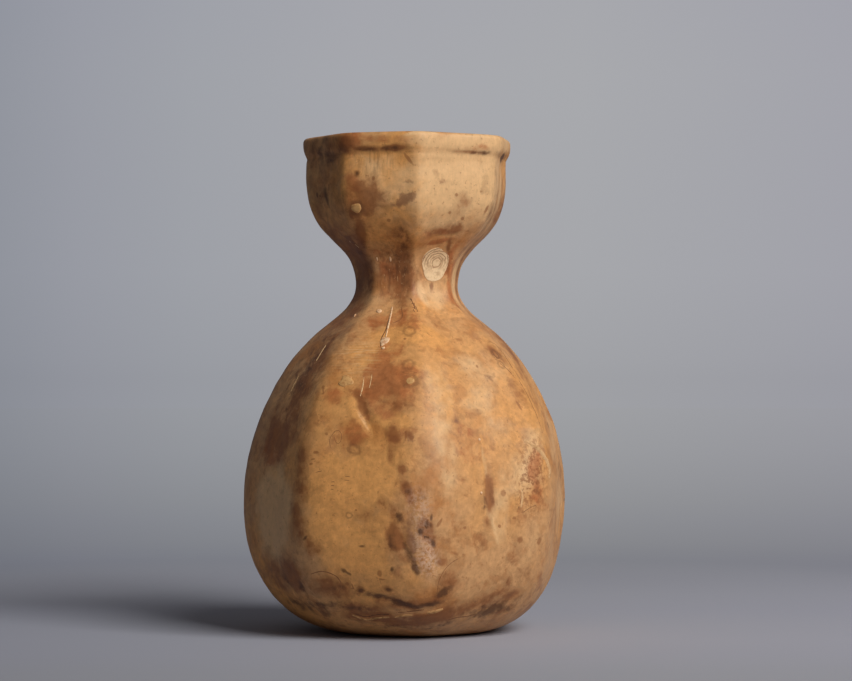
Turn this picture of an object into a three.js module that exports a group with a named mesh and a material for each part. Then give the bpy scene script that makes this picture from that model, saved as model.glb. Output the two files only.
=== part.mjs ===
// A gourd cup: a bottle gourd grown inside an eight-sided mould, dried, cut open across the top and
// cleaned out. The dried shell is one piece, from its flat base through the belly, the waist and the
// cup to the rolled lip. Inside it is a thin coat of wax that keeps a drink from soaking into the wall.
//
// Millimetres, +Z up. The origin is the middle of the footprint, on the surface that the cup stands on,
// and -Y is the front. Angles run from the front towards +X, in degrees.
import * as THREE from "three";

// Driving dimensions of the outside, each radius taken at the ridges between the facets
const HEIGHT = 196;
const BASE_FLAT_RADIUS = 25;
const BELLY_RADIUS = 64.8;
const BELLY_HEIGHT = 53;
const SHOULDER_RADIUS = 37;
const SHOULDER_HEIGHT = 117.7;
const SHOULDER_SLOPE = 42; // degrees above the horizontal
const WAIST_RADIUS = 20.2;
const WAIST_HEIGHT = 138;
const CUP_RADIUS = 39.9;
const CUP_HEIGHT = 180; // where the cup's wall comes upright

// How far each curve of the outside holds its direction at its lower and its upper end
const HOLD = {
  belly: { lower: 16.2, upper: 41.8 },
  shoulder: { lower: 39.8, upper: 2.2 },
  neck: { lower: 10.4, upper: 9 },
  cup: { lower: 18.8, upper: 27 },
};

// The rolled lip, and its underside from the cup's wall through the crease and out to the roll
const LIP_HEIGHT = 8;
const LIP_PROUD = 1.6;
const LIP_ROUND = 1.8;
const LIP_UNDERSIDE = [
  { out: 0, up: -1.6 },
  { out: -0.3, up: -0.2 },
  { out: 0.7, up: 0.5 },
  { out: 1.3, up: 2 },
  { out: LIP_PROUD, up: 4.2 },
];

// The wall of the shell, and the wax coat inside it
const BASE_WALL = 5.6;
const CUP_WALL = 4.4;
const WAX_THICKNESS = 0.8;
const SEAT_GAP = 0.3; // between the wax and the shell
const WAX_BELOW_RIM = 5;

// The mould's eight facets: the ridges as they grew, and how crisp the ridges are at each height
const RIDGE_ANGLES = [-82, -37.5, 6.5, 58, 98, 143, 188, 233];
const RIDGE_CRISPNESS = [
  { height: 0, crispness: 10 },
  { height: 25, crispness: 16 },
  { height: 45, crispness: 26 },
  { height: 80, crispness: 32 },
  { height: 100, crispness: 30 },
  { height: 126, crispness: 40 },
  { height: 160, crispness: 46 },
  { height: 185, crispness: 48 },
  { height: 190, crispness: 26 },
  { height: HEIGHT, crispness: 24 },
];
const SOFT_RIDGE = { angle: 6.5, height: 65, width: 20, tall: 45, loss: 0.4 };
const INSIDE_SOFTNESS = 0.5; // the inner wall's ridges, as a share of the outer ones' crispness

// How unevenly it grew: its sideways leans, two slow waves round the wall and a dent in the belly
const LEANS = [
  { shift: -0.75, height: 38, tall: 24 },
  { shift: 0.35, height: 88, tall: 30 },
];
const BASE_LEAN = { shift: 1.9, fade: 9 };
const LIP_LEAN = { shift: 0.45, from: 184, to: 190 };
const SWELL = { depth: 0.4, lobes: 2, phase: 40, rise: 40 };
const RIPPLE = { depth: 0.25, lobes: 5, phase: 0, rise: -21 };
const DENT = { angle: 9, height: 40, depth: 1.3, width: 9, tall: 17 };

// Facets of the meshes
const SECTOR_STEPS = 7;
const RIDGE_CROWDING = 0.7; // how much closer together the steps are near the ridges
const RINGS = { belly: 10, shoulder: 9, neck: 6, cup: 9, round: 3 };
const INSIDE_RINGS = { belly: 9, shoulder: 11, neck: 6, cup: 10 };

const FINISHES = {
  gourd: { color: 0xb98552, roughness: 0.5 },
  wax: { color: 0xa9743f, roughness: 0.4 },
};

const radians = THREE.MathUtils.degToRad;

// The outside's profile in the (radius, height) plane, as four curves that meet smoothly.
function outsideCurves() {
  const slope = radians(SHOULDER_SLOPE);
  const inward = new THREE.Vector2(-Math.cos(slope), Math.sin(slope));
  const base = new THREE.Vector2(BASE_FLAT_RADIUS, 0);
  const belly = new THREE.Vector2(BELLY_RADIUS, BELLY_HEIGHT);
  const shoulder = new THREE.Vector2(SHOULDER_RADIUS, SHOULDER_HEIGHT);
  const waist = new THREE.Vector2(WAIST_RADIUS, WAIST_HEIGHT);
  const cup = new THREE.Vector2(CUP_RADIUS, CUP_HEIGHT);
  const outward = new THREE.Vector2(1, 0);
  const upward = new THREE.Vector2(0, 1);
  const curve = (hold, from, leaving, to, arriving) => new THREE.CubicBezierCurve(
    from,
    from.clone().addScaledVector(leaving, hold.lower),
    to.clone().addScaledVector(arriving, -hold.upper),
    to,
  );
  return {
    belly: curve(HOLD.belly, base, outward, belly, upward),
    shoulder: curve(HOLD.shoulder, belly, upward, shoulder, inward),
    neck: curve(HOLD.neck, shoulder, inward, waist, upward),
    cup: curve(HOLD.cup, waist, upward, cup, upward),
  };
}

// The lip in section: out from the crease, round the roll and over to the flat cut face.
function lipProfile() {
  const crease = HEIGHT - LIP_HEIGHT;
  const outer = CUP_RADIUS + LIP_PROUD;
  const top = Array.from({ length: RINGS.round + 1 }, (_, i) => {
    const turn = (i / RINGS.round) * (Math.PI / 2);
    return new THREE.Vector2(
      outer - LIP_ROUND * (1 - Math.cos(turn)),
      HEIGHT - LIP_ROUND * (1 - Math.sin(turn)),
    );
  });
  const underside = LIP_UNDERSIDE.map(({ out, up }) => new THREE.Vector2(CUP_RADIUS + out, crease + up));
  return [...underside, ...top];
}

function wallAt(height) {
  const rise = THREE.MathUtils.smoothstep(height, 0, WAIST_HEIGHT);
  return THREE.MathUtils.lerp(BASE_WALL, CUP_WALL, rise);
}

// A profile that follows the outside at a depth under it, from the middle of the floor up to a height.
function insideProfile(depthUnder, topHeight) {
  const points = [];
  for (const [name, curve] of Object.entries(outsideCurves())) {
    const rings = INSIDE_RINGS[name];
    for (let i = points.length ? 1 : 0; i <= rings; i++) {
      const at = curve.getPoint(i / rings);
      const along = curve.getTangent(i / rings);
      const depth = wallAt(at.y) + depthUnder;
      points.push(new THREE.Vector2(at.x - along.y * depth, at.y + along.x * depth));
    }
  }
  const floor = new THREE.Vector2(0, points[0].y);
  const brim = new THREE.Vector2(points.at(-1).x, topHeight);
  return [floor, ...points, brim];
}

function stationCrispness(height) {
  const next = RIDGE_CRISPNESS.findIndex((station) => station.height >= height);
  if (next < 0) return RIDGE_CRISPNESS.at(-1).crispness;
  if (next === 0) return RIDGE_CRISPNESS[0].crispness;
  const [below, above] = [RIDGE_CRISPNESS[next - 1], RIDGE_CRISPNESS[next]];
  return THREE.MathUtils.mapLinear(
    height, below.height, above.height, below.crispness, above.crispness,
  );
}

// How crisp the ridges are at a place: the front one is softer over the belly.
function crispnessAt(angle, height) {
  return stationCrispness(height) * (1 - SOFT_RIDGE.loss * nearness(SOFT_RIDGE, angle, height));
}

// The section's radius at an angle as a share of its radius at a ridge. Each facet is a straight side
// that runs from ridge to ridge, and the sum over all of them rounds the ridges where two sides meet.
function facetShare(angle, crispness) {
  const count = RIDGE_ANGLES.length;
  let sum = 0;
  for (let i = 0; i < count; i++) {
    const from = RIDGE_ANGLES[i];
    const to = i + 1 < count ? RIDGE_ANGLES[i + 1] : RIDGE_ANGLES[0] + 360;
    const facing = Math.cos(radians(angle - (from + to) / 2));
    if (facing > 0) sum += (facing / Math.cos(radians((to - from) / 2))) ** crispness;
  }
  return (2 / sum) ** (1 / crispness);
}

// Steps of equal number in each sector, closer together near the ridges.
function angleOfStep(step) {
  const sector = Math.floor(step / SECTOR_STEPS) % RIDGE_ANGLES.length;
  const share = (step % SECTOR_STEPS) / SECTOR_STEPS;
  const eased = share - (RIDGE_CROWDING / (2 * Math.PI)) * Math.sin(2 * Math.PI * share);
  const from = RIDGE_ANGLES[sector];
  const last = sector + 1 === RIDGE_ANGLES.length;
  const to = last ? RIDGE_ANGLES[0] + 360 : RIDGE_ANGLES[sector + 1];
  return from + (to - from) * eased;
}

function bell(distance, width) {
  return Math.exp(-((distance / width) ** 2));
}

// How near a place is to the middle of a patch, from 0 to 1. The patch's width is measured along the
// wall at the given radius, or in degrees when no radius is given.
function nearness(patch, angle, height, radius) {
  const turn = THREE.MathUtils.euclideanModulo(angle - patch.angle + 180, 360) - 180;
  const sideways = radius === undefined ? turn : radians(turn) * radius;
  return bell(sideways, patch.width) * bell(height - patch.height, patch.tall);
}

// What uneven growth adds to the radius: two slow waves round and up the wall, and the belly's dent.
function unevenness(angle, height, radius) {
  const wave = ({ depth, lobes, phase, rise }) =>
    depth * Math.sin(radians(lobes * angle + phase) + height / rise);
  const dent = DENT.depth * nearness(DENT, angle, height, radius);
  const share = THREE.MathUtils.smoothstep(radius, 0, WAIST_RADIUS);
  return share * (wave(SWELL) + wave(RIPPLE)) - dent;
}

function leanAt(height) {
  const bends = LEANS.map(({ shift, height: middle, tall }) => shift * bell(height - middle, tall));
  const base = BASE_LEAN.shift * Math.exp(-height / BASE_LEAN.fade);
  const lip = LIP_LEAN.shift * THREE.MathUtils.smoothstep(height, LIP_LEAN.from, LIP_LEAN.to);
  return bends.reduce((sum, bend) => sum + bend, base + lip);
}

// Revolves a closed profile and presses the mould's facets into it. Its first points are the outside's,
// and the others are the inner wall's, which runs straight up behind the lip and doesn't follow it.
function mouldedSolid(profile, outsidePoints) {
  const steps = SECTOR_STEPS * RIDGE_ANGLES.length;
  const geometry = new THREE.LatheGeometry(profile, steps);
  const position = geometry.getAttribute("position");
  for (let i = 0; i < position.count; i++) {
    const point = i % profile.length;
    const { x: radius, y: height } = profile[point];
    const angle = angleOfStep(Math.floor(i / profile.length) % steps);
    const inside = point >= outsidePoints;
    const level = inside ? Math.min(height, CUP_HEIGHT) : height;
    const crispness = crispnessAt(angle, level) * (inside ? INSIDE_SOFTNESS : 1);
    const reach = radius === 0 ? 0
      : radius * facetShare(angle, crispness) + unevenness(angle, height, radius);
    const x = reach * Math.sin(radians(angle)) + leanAt(level);
    position.setXYZ(i, x, height, reach * Math.cos(radians(angle)));
  }
  geometry.deleteAttribute("normal");
  geometry.deleteAttribute("uv");
  return geometry.rotateX(Math.PI / 2);
}

function shellGeometry() {
  const { belly, shoulder, neck, cup } = outsideCurves();
  const outside = [
    new THREE.Vector2(0, 0),
    ...belly.getPoints(RINGS.belly),
    ...shoulder.getPoints(RINGS.shoulder).slice(1),
    ...neck.getPoints(RINGS.neck).slice(1),
    ...cup.getPoints(RINGS.cup).slice(1),
    ...lipProfile(),
  ];
  const inside = insideProfile(0, HEIGHT).reverse();
  return mouldedSolid([...outside, ...inside], outside.length);
}

function waxGeometry() {
  const brim = HEIGHT - WAX_BELOW_RIM;
  const underside = insideProfile(SEAT_GAP, brim);
  const surface = insideProfile(SEAT_GAP + WAX_THICKNESS, brim).reverse();
  return mouldedSolid([...underside, ...surface], 0);
}

function part(name, geometry, finish) {
  const mesh = new THREE.Mesh(geometry, new THREE.MeshStandardMaterial(finish));
  mesh.name = name;
  return mesh;
}

const shell = part("gourd_shell", shellGeometry(), FINISHES.gourd);
const lining = part("wax_lining", waxGeometry(), FINISHES.wax);

// The origin goes to the middle of the outside's footprint.
const middle = new THREE.Box3().setFromObject(shell).getCenter(new THREE.Vector3());
const cupGroup = new THREE.Group();
cupGroup.add(shell, lining);
cupGroup.position.set(-middle.x, -middle.y, 0);

const model = new THREE.Group();
model.add(cupGroup);

export default model;
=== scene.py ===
"""The looks of a moulded gourd cup: its dried and stained skin, its scars and its wax coat.

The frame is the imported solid's: metres, +Z up, the cup standing on Z = 0 and -Y its front. A place on the
gourd is an angle round it, in degrees from the front towards +X, and a height, in millimetres. Sizes of
what is on the gourd are in millimetres too.
"""
import logging
import math
from collections.abc import Sequence
from dataclasses import dataclass
from enum import Enum

import bpy
import numpy as np
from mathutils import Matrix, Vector
from mathutils.bvhtree import BVHTree


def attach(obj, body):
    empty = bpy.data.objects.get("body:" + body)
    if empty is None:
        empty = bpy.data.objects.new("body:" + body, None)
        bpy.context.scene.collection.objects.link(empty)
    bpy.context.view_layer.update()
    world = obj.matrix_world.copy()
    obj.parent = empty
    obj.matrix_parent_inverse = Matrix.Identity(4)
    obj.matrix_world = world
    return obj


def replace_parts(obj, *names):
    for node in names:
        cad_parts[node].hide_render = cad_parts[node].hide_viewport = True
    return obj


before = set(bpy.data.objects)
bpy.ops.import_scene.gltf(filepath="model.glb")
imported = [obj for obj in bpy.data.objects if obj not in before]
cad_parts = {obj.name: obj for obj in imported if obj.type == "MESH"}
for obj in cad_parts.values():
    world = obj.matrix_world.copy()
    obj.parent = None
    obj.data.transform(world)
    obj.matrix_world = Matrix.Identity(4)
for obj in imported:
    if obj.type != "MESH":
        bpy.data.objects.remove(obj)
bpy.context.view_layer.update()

LOG = logging.getLogger("gourd_cup")
MM = 0.001
BODY = "root"
IMAGE_WIDTH = 852
EDGE_FALL = 0.69  # brings a mark to about half of its strength at its edge
MARK_DEPTH = 6  # how much farther than half of its size a mark reaches into the wall
FLECK_REACH = 1.7  # how far past its edge a fleck's outline may wander
FLECK_FADE = 3  # how fast a fleck is lost past that

Array = np.ndarray
Socket = bpy.types.NodeSocket
Colour = tuple[float, float, float, float]
Path = tuple[tuple[float, float], ...]
Stops = tuple[tuple[float, Colour], ...]
Span = tuple[float, float]
Piece = bpy.types.Object
Material = bpy.types.Material


def srgb(red: int, green: int, blue: int) -> Colour:
    """Turns a colour as a picture shows it into the linear colour that a shader takes.

    Args:
        red: Red from 0 to 255.
        green: Green from 0 to 255.
        blue: Blue from 0 to 255.

    Returns:
        The linear colour with full alpha.
    """
    shares = [value / 255 for value in (red, green, blue)]
    linear = [s / 12.92 if s <= 0.04045 else ((s + 0.055) / 1.055) ** 2.4 for s in shares]
    return (*linear, 1.0)


def smoothstep(value: Array, low: float, high: float) -> Array:
    """Eases values from 0 at low to 1 at high."""
    share = np.clip((value - low) / (high - low), 0, 1)
    return share * share * (3 - 2 * share)


def bell(distance: Array, width: float) -> Array:
    """A bell curve of height 1 and the given half width."""
    return np.exp(-((distance / width) ** 2))


def cubic(start: Sequence[float], leaving: Sequence[float], arriving: Sequence[float],
          end: Sequence[float], steps: int) -> Array:
    """Points along a cubic curve in the plane of radius and height.

    Args:
        start: The first point.
        leaving: The handle at the first point, as a step from it.
        arriving: The handle at the last point, as a step from it.
        end: The last point.
        steps: How many steps the curve takes.

    Returns:
        The points after the first, as rows of radius and height.
    """
    t = np.linspace(0, 1, steps + 1)[1:, None]
    first, last = np.array(start), np.array(end)
    near, far = first + np.array(leaving), last + np.array(arriving)
    return (1 - t) ** 3 * first + 3 * (1 - t) ** 2 * t * near + 3 * (1 - t) * t * t * far + t**3 * last


def straight(start: Sequence[float], end: Sequence[float], steps: int) -> Array:
    """Points along a straight line in the plane of radius and height, both of its ends among them."""
    return np.stack([np.linspace(first, last, steps + 1) for first, last in zip(start, end)], 1)


@dataclass(frozen=True)
class GourdForm:
    """The gourd's driving sizes, in millimetres and degrees, with the radii taken at its ridges.

    A pull is how far a curve of the outline is drawn straight on before it turns. The lip's swell is rows
    of a share of how proud the lip is and a height over the crease. Something tall or wide that fades out
    is given by half of its size, where a bell curve has fallen to about a third.
    """

    height: float = 196.0
    base_radius: float = 25.0
    base_pull: float = 16.2
    belly_radius: float = 64.8
    belly_height: float = 53.0
    belly_pull_down: float = 41.8
    belly_pull_up: float = 39.8
    shoulder_radius: float = 37.0
    shoulder_height: float = 117.7
    shoulder_slope: float = 42.0
    shoulder_pull_down: float = 2.2
    shoulder_pull_up: float = 10.4
    waist_radius: float = 20.2
    waist_height: float = 138.0
    waist_pull_down: float = 9.0
    waist_pull_up: float = 18.8
    cup_radius: float = 39.9
    cup_height: float = 180.0
    cup_pull_down: float = 27.0
    stretch_lengths: tuple[float, ...] = (71, 72, 27, 50)
    lip_height: float = 8.0
    lip_proud: float = 1.6
    lip_round: float = 1.8
    lip_swell: tuple[Span, ...] = ((0.2, 0.5), (0.6, 1.7), (0.88, 3.2), (1.0, 4.8))
    crease_depth: float = 0.1
    crease_start: float = 1.6
    crease_bottom: float = 0.5
    base_wall: float = 5.6
    cup_wall: float = 4.4
    ridges: tuple[float, ...] = (-82, -37.5, 6.5, 58, 98, 143, 188, 233)
    crisp_heights: tuple[float, ...] = (0, 25, 45, 80, 100, 126, 160, 185, 190, 196)
    crispness: tuple[float, ...] = (10, 16, 26, 32, 30, 40, 46, 48, 26, 24)
    soft_ridge: float = 6.5
    soft_ridge_wide: float = 20.0
    soft_ridge_height: float = 65.0
    soft_ridge_tall: float = 45.0
    soft_ridge_share: float = 0.4
    inside_softness: float = 0.5
    belly_lean: float = -0.75
    belly_lean_height: float = 38.0
    belly_lean_tall: float = 24.0
    shoulder_lean: float = 0.35
    shoulder_lean_height: float = 88.0
    shoulder_lean_tall: float = 30.0
    base_lean: float = 1.9
    base_lean_tall: float = 9.0
    lip_lean: float = 0.45
    lip_lean_span: Span = (184, 190)
    crease_fill: float = 0.7
    crease_fill_angle: float = 14.0
    crease_fill_wide: float = 17.0
    crease_fill_below: float = 0.8
    crease_fill_tall: float = 2.2
    swell: float = 0.4
    swell_phase: float = 40.0
    swell_pitch: float = 40.0
    ripple: float = 0.25
    ripple_pitch: float = 21.0
    dent_depth: float = 1.3
    dent_angle: float = 9.0
    dent_wide: float = 9.0
    dent_height: float = 40.0
    dent_tall: float = 17.0

    def curves(self, step: float) -> Array:
        """The outside from the edge of the flat base up to where the cup's wall comes upright.

        Args:
            step: The rough length of a step along it.

        Returns:
            Rows of radius and height.
        """
        slope = math.radians(self.shoulder_slope)
        inward = np.array([-math.cos(slope), math.sin(slope)])
        base = (self.base_radius, 0.0)
        belly = (self.belly_radius, self.belly_height)
        shoulder = (self.shoulder_radius, self.shoulder_height)
        waist = (self.waist_radius, self.waist_height)
        cup = (self.cup_radius, self.cup_height)
        stretches = [
            (base, (self.base_pull, 0), (0, -self.belly_pull_down), belly),
            (belly, (0, self.belly_pull_up), -self.shoulder_pull_down * inward, shoulder),
            (shoulder, self.shoulder_pull_up * inward, (0, -self.waist_pull_down), waist),
            (waist, (0, self.waist_pull_up), (0, -self.cup_pull_down), cup),
        ]
        rows = [np.array([base])]
        for (start, leaving, arriving, end), length in zip(stretches, self.stretch_lengths):
            rows.append(cubic(start, leaving, arriving, end, max(2, round(length / step))))
        return np.vstack(rows)

    def lip(self, step: float) -> Array:
        """The outside from the cup's upright wall over the crease and the rolled lip to its flat top.

        Args:
            step: The rough length of a step along it.

        Returns:
            Rows of radius and height.
        """
        crease = self.height - self.lip_height
        outer = self.cup_radius + self.lip_proud
        turns = np.linspace(0, math.pi / 2, 6)
        knots = np.array([
            (self.cup_radius, self.cup_height),
            (self.cup_radius, crease - self.crease_start),
            (self.cup_radius - self.crease_depth, crease - self.crease_bottom),
            *((self.cup_radius + share * self.lip_proud, crease + rise) for share, rise in self.lip_swell),
            (outer, self.height - self.lip_round),
        ])
        reach = np.concatenate([[0], np.cumsum(np.hypot(*np.diff(knots, axis=0).T))])
        along = np.linspace(0, reach[-1], round(reach[-1] / step))[1:]
        wall = np.stack([np.interp(along, reach, knots[:, 0]), np.interp(along, reach, knots[:, 1])], 1)
        roll = np.stack([
            outer - self.lip_round * (1 - np.cos(turns)),
            self.height - self.lip_round * (1 - np.sin(turns)),
        ], 1)
        return np.vstack([wall, roll[1:]])

    def wall(self, height: Array) -> Array:
        """The wall's thickness at a height."""
        rise = smoothstep(height, 0, self.waist_height)
        return self.base_wall + (self.cup_wall - self.base_wall) * rise

    def inner(self, under: float, step: float) -> Array:
        """The inner wall, from the edge of its floor up to where the cup comes upright.

        Args:
            under: The depth under the wall's own inner face, for a coat on it.
            step: The rough length of a step along it.

        Returns:
            Rows of radius and height.
        """
        outside = self.curves(step)
        along = np.gradient(outside, axis=0)
        along[0] = (1, 0)
        along /= np.linalg.norm(along, axis=1)[:, None]
        depth = self.wall(outside[:, 1]) + under
        return outside + np.stack([-along[:, 1] * depth, along[:, 0] * depth], 1)

    def radius_at(self, height: Array) -> Array:
        """The outside's radius at a height, before the facets are pressed in."""
        outline = np.vstack([self.curves(step=2.0), self.lip(step=0.5)])
        return np.interp(height, outline[:, 1], outline[:, 0])

    def facet_share(self, angle: Array, crispness: Array) -> Array:
        """The section's radius as a share of its radius at a ridge.

        Args:
            angle: Angles round the gourd, in degrees.
            crispness: How sharp the ridges are there.

        Returns:
            The shares, 1 at a ridge and least in the middle of a facet.
        """
        total = np.zeros_like(angle)
        for index, ridge in enumerate(self.ridges):
            after = self.ridges[index + 1] if index + 1 < len(self.ridges) else self.ridges[0] + 360
            facing = np.cos(np.radians(angle - (ridge + after) / 2))
            half = math.cos(math.radians(after - ridge) / 2)
            total += np.where(facing > 0, np.maximum(facing, 1e-9) / half, 0) ** crispness
        return (2 / total) ** (1 / crispness)

    def uneven(self, angle: Array, height: Array, radius: Array) -> Array:
        """What uneven growth adds to the radius, less the shallow dent low on the front.

        Args:
            angle: Angles round the gourd, in degrees.
            height: Heights.
            radius: Radii before the facets are pressed in.

        Returns:
            The steps out, in millimetres.
        """
        swell = self.swell * np.sin(np.radians(2 * angle + self.swell_phase) + height / self.swell_pitch)
        ripple = self.ripple * np.sin(np.radians(5 * angle) - height / self.ripple_pitch)
        turn = (angle - self.dent_angle + 180) % 360 - 180
        dent = self.dent_depth * bell(np.radians(turn) * radius, self.dent_wide)
        dent = dent * bell(height - self.dent_height, self.dent_tall)
        return smoothstep(radius, 0, self.waist_radius) * (swell + ripple) - dent

    def lean(self, height: Array) -> Array:
        """How far the gourd's middle stands to the +X side.

        Args:
            height: Heights.

        Returns:
            The steps to the side, in millimetres.
        """
        belly = self.belly_lean * bell(height - self.belly_lean_height, self.belly_lean_tall)
        shoulder = self.shoulder_lean * bell(height - self.shoulder_lean_height, self.shoulder_lean_tall)
        base = self.base_lean * np.exp(-height / self.base_lean_tall)
        return belly + shoulder + base + self.lip_lean * smoothstep(height, *self.lip_lean_span)

    def pressed(self, angle: Array, radius: Array, height: Array, inside: Array) -> tuple[Array, Array]:
        """Where the mould's facets put points of the round gourd.

        Args:
            angle: Angles round the gourd, in degrees.
            radius: Radii before the facets are pressed in.
            height: Heights.
            inside: Whether each point is on the inner wall, whose ridges are softer.

        Returns:
            The points' X and Y, in millimetres.
        """
        level = np.where(inside, np.minimum(height, self.cup_height), height)
        crispness = np.interp(level, self.crisp_heights, self.crispness)
        turn = (angle - self.soft_ridge + 180) % 360 - 180
        soft = bell(turn, self.soft_ridge_wide) * bell(level - self.soft_ridge_height, self.soft_ridge_tall)
        crispness = crispness * (1 - self.soft_ridge_share * soft)
        crispness = crispness * np.where(inside, self.inside_softness, 1.0)
        reach = radius * self.facet_share(angle, crispness) + self.uneven(angle, height, radius)
        reach = np.where(radius < 0.01, 0.0, reach)
        over_crease = height - (self.height - self.lip_height)
        fill = self.crease_fill * bell(angle - self.crease_fill_angle, self.crease_fill_wide)
        fill = fill * bell(over_crease + self.crease_fill_below, self.crease_fill_tall)
        reach = reach + np.where(inside, 0, fill)
        lean = self.lean(level)
        return reach * np.sin(np.radians(angle)) + lean, -reach * np.cos(np.radians(angle))


FORM = GourdForm()


@dataclass(frozen=True)
class Footing:
    """A place on the outside with its own directions: round the gourd, up along it and out of it."""

    centre: Vector
    around: Vector
    up: Vector
    out: Vector


class Surveyor:
    """Finds places on the moulded gourd from angles and heights."""

    side_step: float = 1.5
    rise_step: float = 1.0
    smoothings: int = 3

    def __init__(self, form: GourdForm) -> None:
        """Measures the middle of the gourd's footprint, where the frame has its origin.

        Args:
            form: The gourd's sizes.
        """
        self.form = form
        levels = np.arange(0, form.height, 1.0)
        angle, height = (grid.ravel() for grid in np.meshgrid(np.arange(0, 360, 1.0), levels))
        x, y = self._press(angle, height)
        self.middle = ((x.max() + x.min()) / 2, (y.max() + y.min()) / 2)

    def _press(self, angle: Array, height: Array) -> tuple[Array, Array]:
        """The outside's X and Y at angles and heights, before the origin is moved."""
        inside = np.zeros(len(angle), bool)
        return self.form.pressed(angle, self.form.radius_at(height), height, inside)

    def point(self, angle: float, height: float) -> Vector:
        """The outside's point at an angle and a height, in metres."""
        x, y = self._press(np.array([float(angle)]), np.array([float(height)]))
        return Vector((x[0] - self.middle[0], y[0] - self.middle[1], height)) * MM

    def footing(self, angle: float, height: float) -> Footing:
        """The place at an angle and a height, with its directions.

        Args:
            angle: The angle round the gourd, in degrees.
            height: The height, in millimetres.

        Returns:
            The place.
        """
        centre = self.point(angle, height)
        left, right = (self.point(angle + side, height) for side in (-self.side_step, self.side_step))
        low, high = (self.point(angle, height + rise) for rise in (-self.rise_step, self.rise_step))
        around, up = (right - left).normalized(), (high - low).normalized()
        out = around.cross(up).normalized()
        return Footing(centre, around, out.cross(around).normalized(), out)

    def path(self, places: Path, step: float) -> Array:
        """Points along a smooth line through places on the outside, in metres.

        Args:
            places: Angles and heights.
            step: The rough distance between the points, in millimetres.

        Returns:
            Rows of X, Y and Z.
        """
        corners = np.array([self.point(*place) for place in places])
        reach = np.concatenate([[0], np.cumsum(np.linalg.norm(np.diff(corners, axis=0), axis=1))])
        count = max(3, round(reach[-1] / (step * MM)) + 1)
        along = np.linspace(0, reach[-1], count)
        rows = np.stack([np.interp(along, reach, corners[:, axis]) for axis in range(3)], 1)
        for _ in range(self.smoothings):
            rows[1:-1] = (rows[:-2] + 2 * rows[1:-1] + rows[2:]) / 4
        return rows


SURVEYOR = Surveyor(FORM)


def turned(first: Vector, second: Vector, turn: float) -> tuple[Vector, Vector]:
    """Turns two directions in their own plane by an angle in degrees, from the first to the second."""
    cos, sin = math.cos(math.radians(turn)), math.sin(math.radians(turn))
    return first * cos + second * sin, second * cos - first * sin


def select_only(piece: Piece) -> None:
    """Deselects everything and then makes one piece the selected and active one."""
    bpy.ops.object.select_all(action="DESELECT")
    piece.select_set(True)
    bpy.context.view_layer.objects.active = piece


def join_pieces(name: str, pieces: Sequence[Piece]) -> Piece:
    """Joins pieces in one object with a name of its own.

    Args:
        name: The name.
        pieces: The pieces, which are gone afterwards.

    Returns:
        The object.
    """
    select_only(pieces[0])
    for piece in pieces:
        piece.select_set(True)
    bpy.ops.object.join()
    joined = bpy.context.object
    joined.name = joined.data.name = name
    return joined


def draw_line(name: str, rows: Array) -> Piece:
    """Draws a chain of edges through points and leaves it in edit mode with all selected.

    Args:
        name: The new piece's name.
        rows: The points, in metres.

    Returns:
        The new piece.
    """
    bpy.ops.object.select_all(action="DESELECT")
    bpy.ops.mesh.primitive_plane_add(size=MM, location=(0, 0, 0))
    piece = bpy.context.object
    piece.name = piece.data.name = name
    bpy.ops.object.mode_set(mode="EDIT")
    bpy.ops.mesh.merge(type="CENTER")
    bpy.ops.transform.translate(value=rows[0])
    for step in np.diff(rows, axis=0):
        bpy.ops.mesh.extrude_region_move(TRANSFORM_OT_translate={"value": step})
    bpy.ops.mesh.select_all(action="SELECT")
    return piece


def turn_section(name: str, outline: Array, columns: int) -> Piece:
    """Draws an outline from the axis round to the axis again and spins it into a closed solid.

    Args:
        name: The new piece's name.
        outline: Rows of radius and height, in millimetres, anticlockwise from the axis.
        columns: How many columns of faces go round.

    Returns:
        The new piece.
    """
    rows = np.stack([np.zeros(len(outline)), -outline[:, 0], outline[:, 1]], 1) * MM
    piece = draw_line(name, rows)
    bpy.ops.mesh.spin(steps=columns, angle=math.tau, center=(0, 0, 0), axis=(0, 0, 1))
    bpy.ops.mesh.select_all(action="SELECT")
    bpy.ops.mesh.remove_doubles(threshold=0.01 * MM)
    bpy.ops.mesh.normals_make_consistent(inside=False)
    bpy.ops.object.mode_set(mode="OBJECT")
    return piece


def places_of(piece: Piece) -> Array:
    """A piece's vertices, in metres."""
    found = np.empty(len(piece.data.vertices) * 3, np.float32)
    piece.data.vertices.foreach_get("co", found)
    return found.reshape(-1, 3).astype(float)


def normals_of(piece: Piece) -> Array:
    """A piece's vertex normals."""
    found = np.empty(len(piece.data.vertices) * 3, np.float32)
    piece.data.vertices.foreach_get("normal", found)
    return found.reshape(-1, 3).astype(float)


def move_places(piece: Piece, found: Array) -> None:
    """Puts a piece's vertices at new places, in metres."""
    piece.data.vertices.foreach_set("co", found.astype(np.float32).ravel())
    piece.data.update()


def on_inner_wall(found: Array) -> Array:
    """Which points of the round shell, in millimetres, belong to its inner wall."""
    radius, height = np.hypot(found[:, 0], found[:, 1]), found[:, 2]
    deep = radius < FORM.radius_at(height) - FORM.wall(height) / 2
    return deep & (height > FORM.base_wall / 2)


def press_in_mould(piece: Piece, inside: Array) -> None:
    """Presses the mould's facets into a round piece and moves it to the frame's origin.

    Args:
        piece: The piece as it was spun.
        inside: Which of its vertices follow the inner wall.
    """
    found = places_of(piece) / MM
    radius, height = np.hypot(found[:, 0], found[:, 1]), found[:, 2]
    angle = np.degrees(np.arctan2(found[:, 0], -found[:, 1]))
    x, y = FORM.pressed(angle, radius, height, inside)
    middle_x, middle_y = SURVEYOR.middle
    move_places(piece, np.stack([x - middle_x, y - middle_y, height], 1) * MM)


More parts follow.
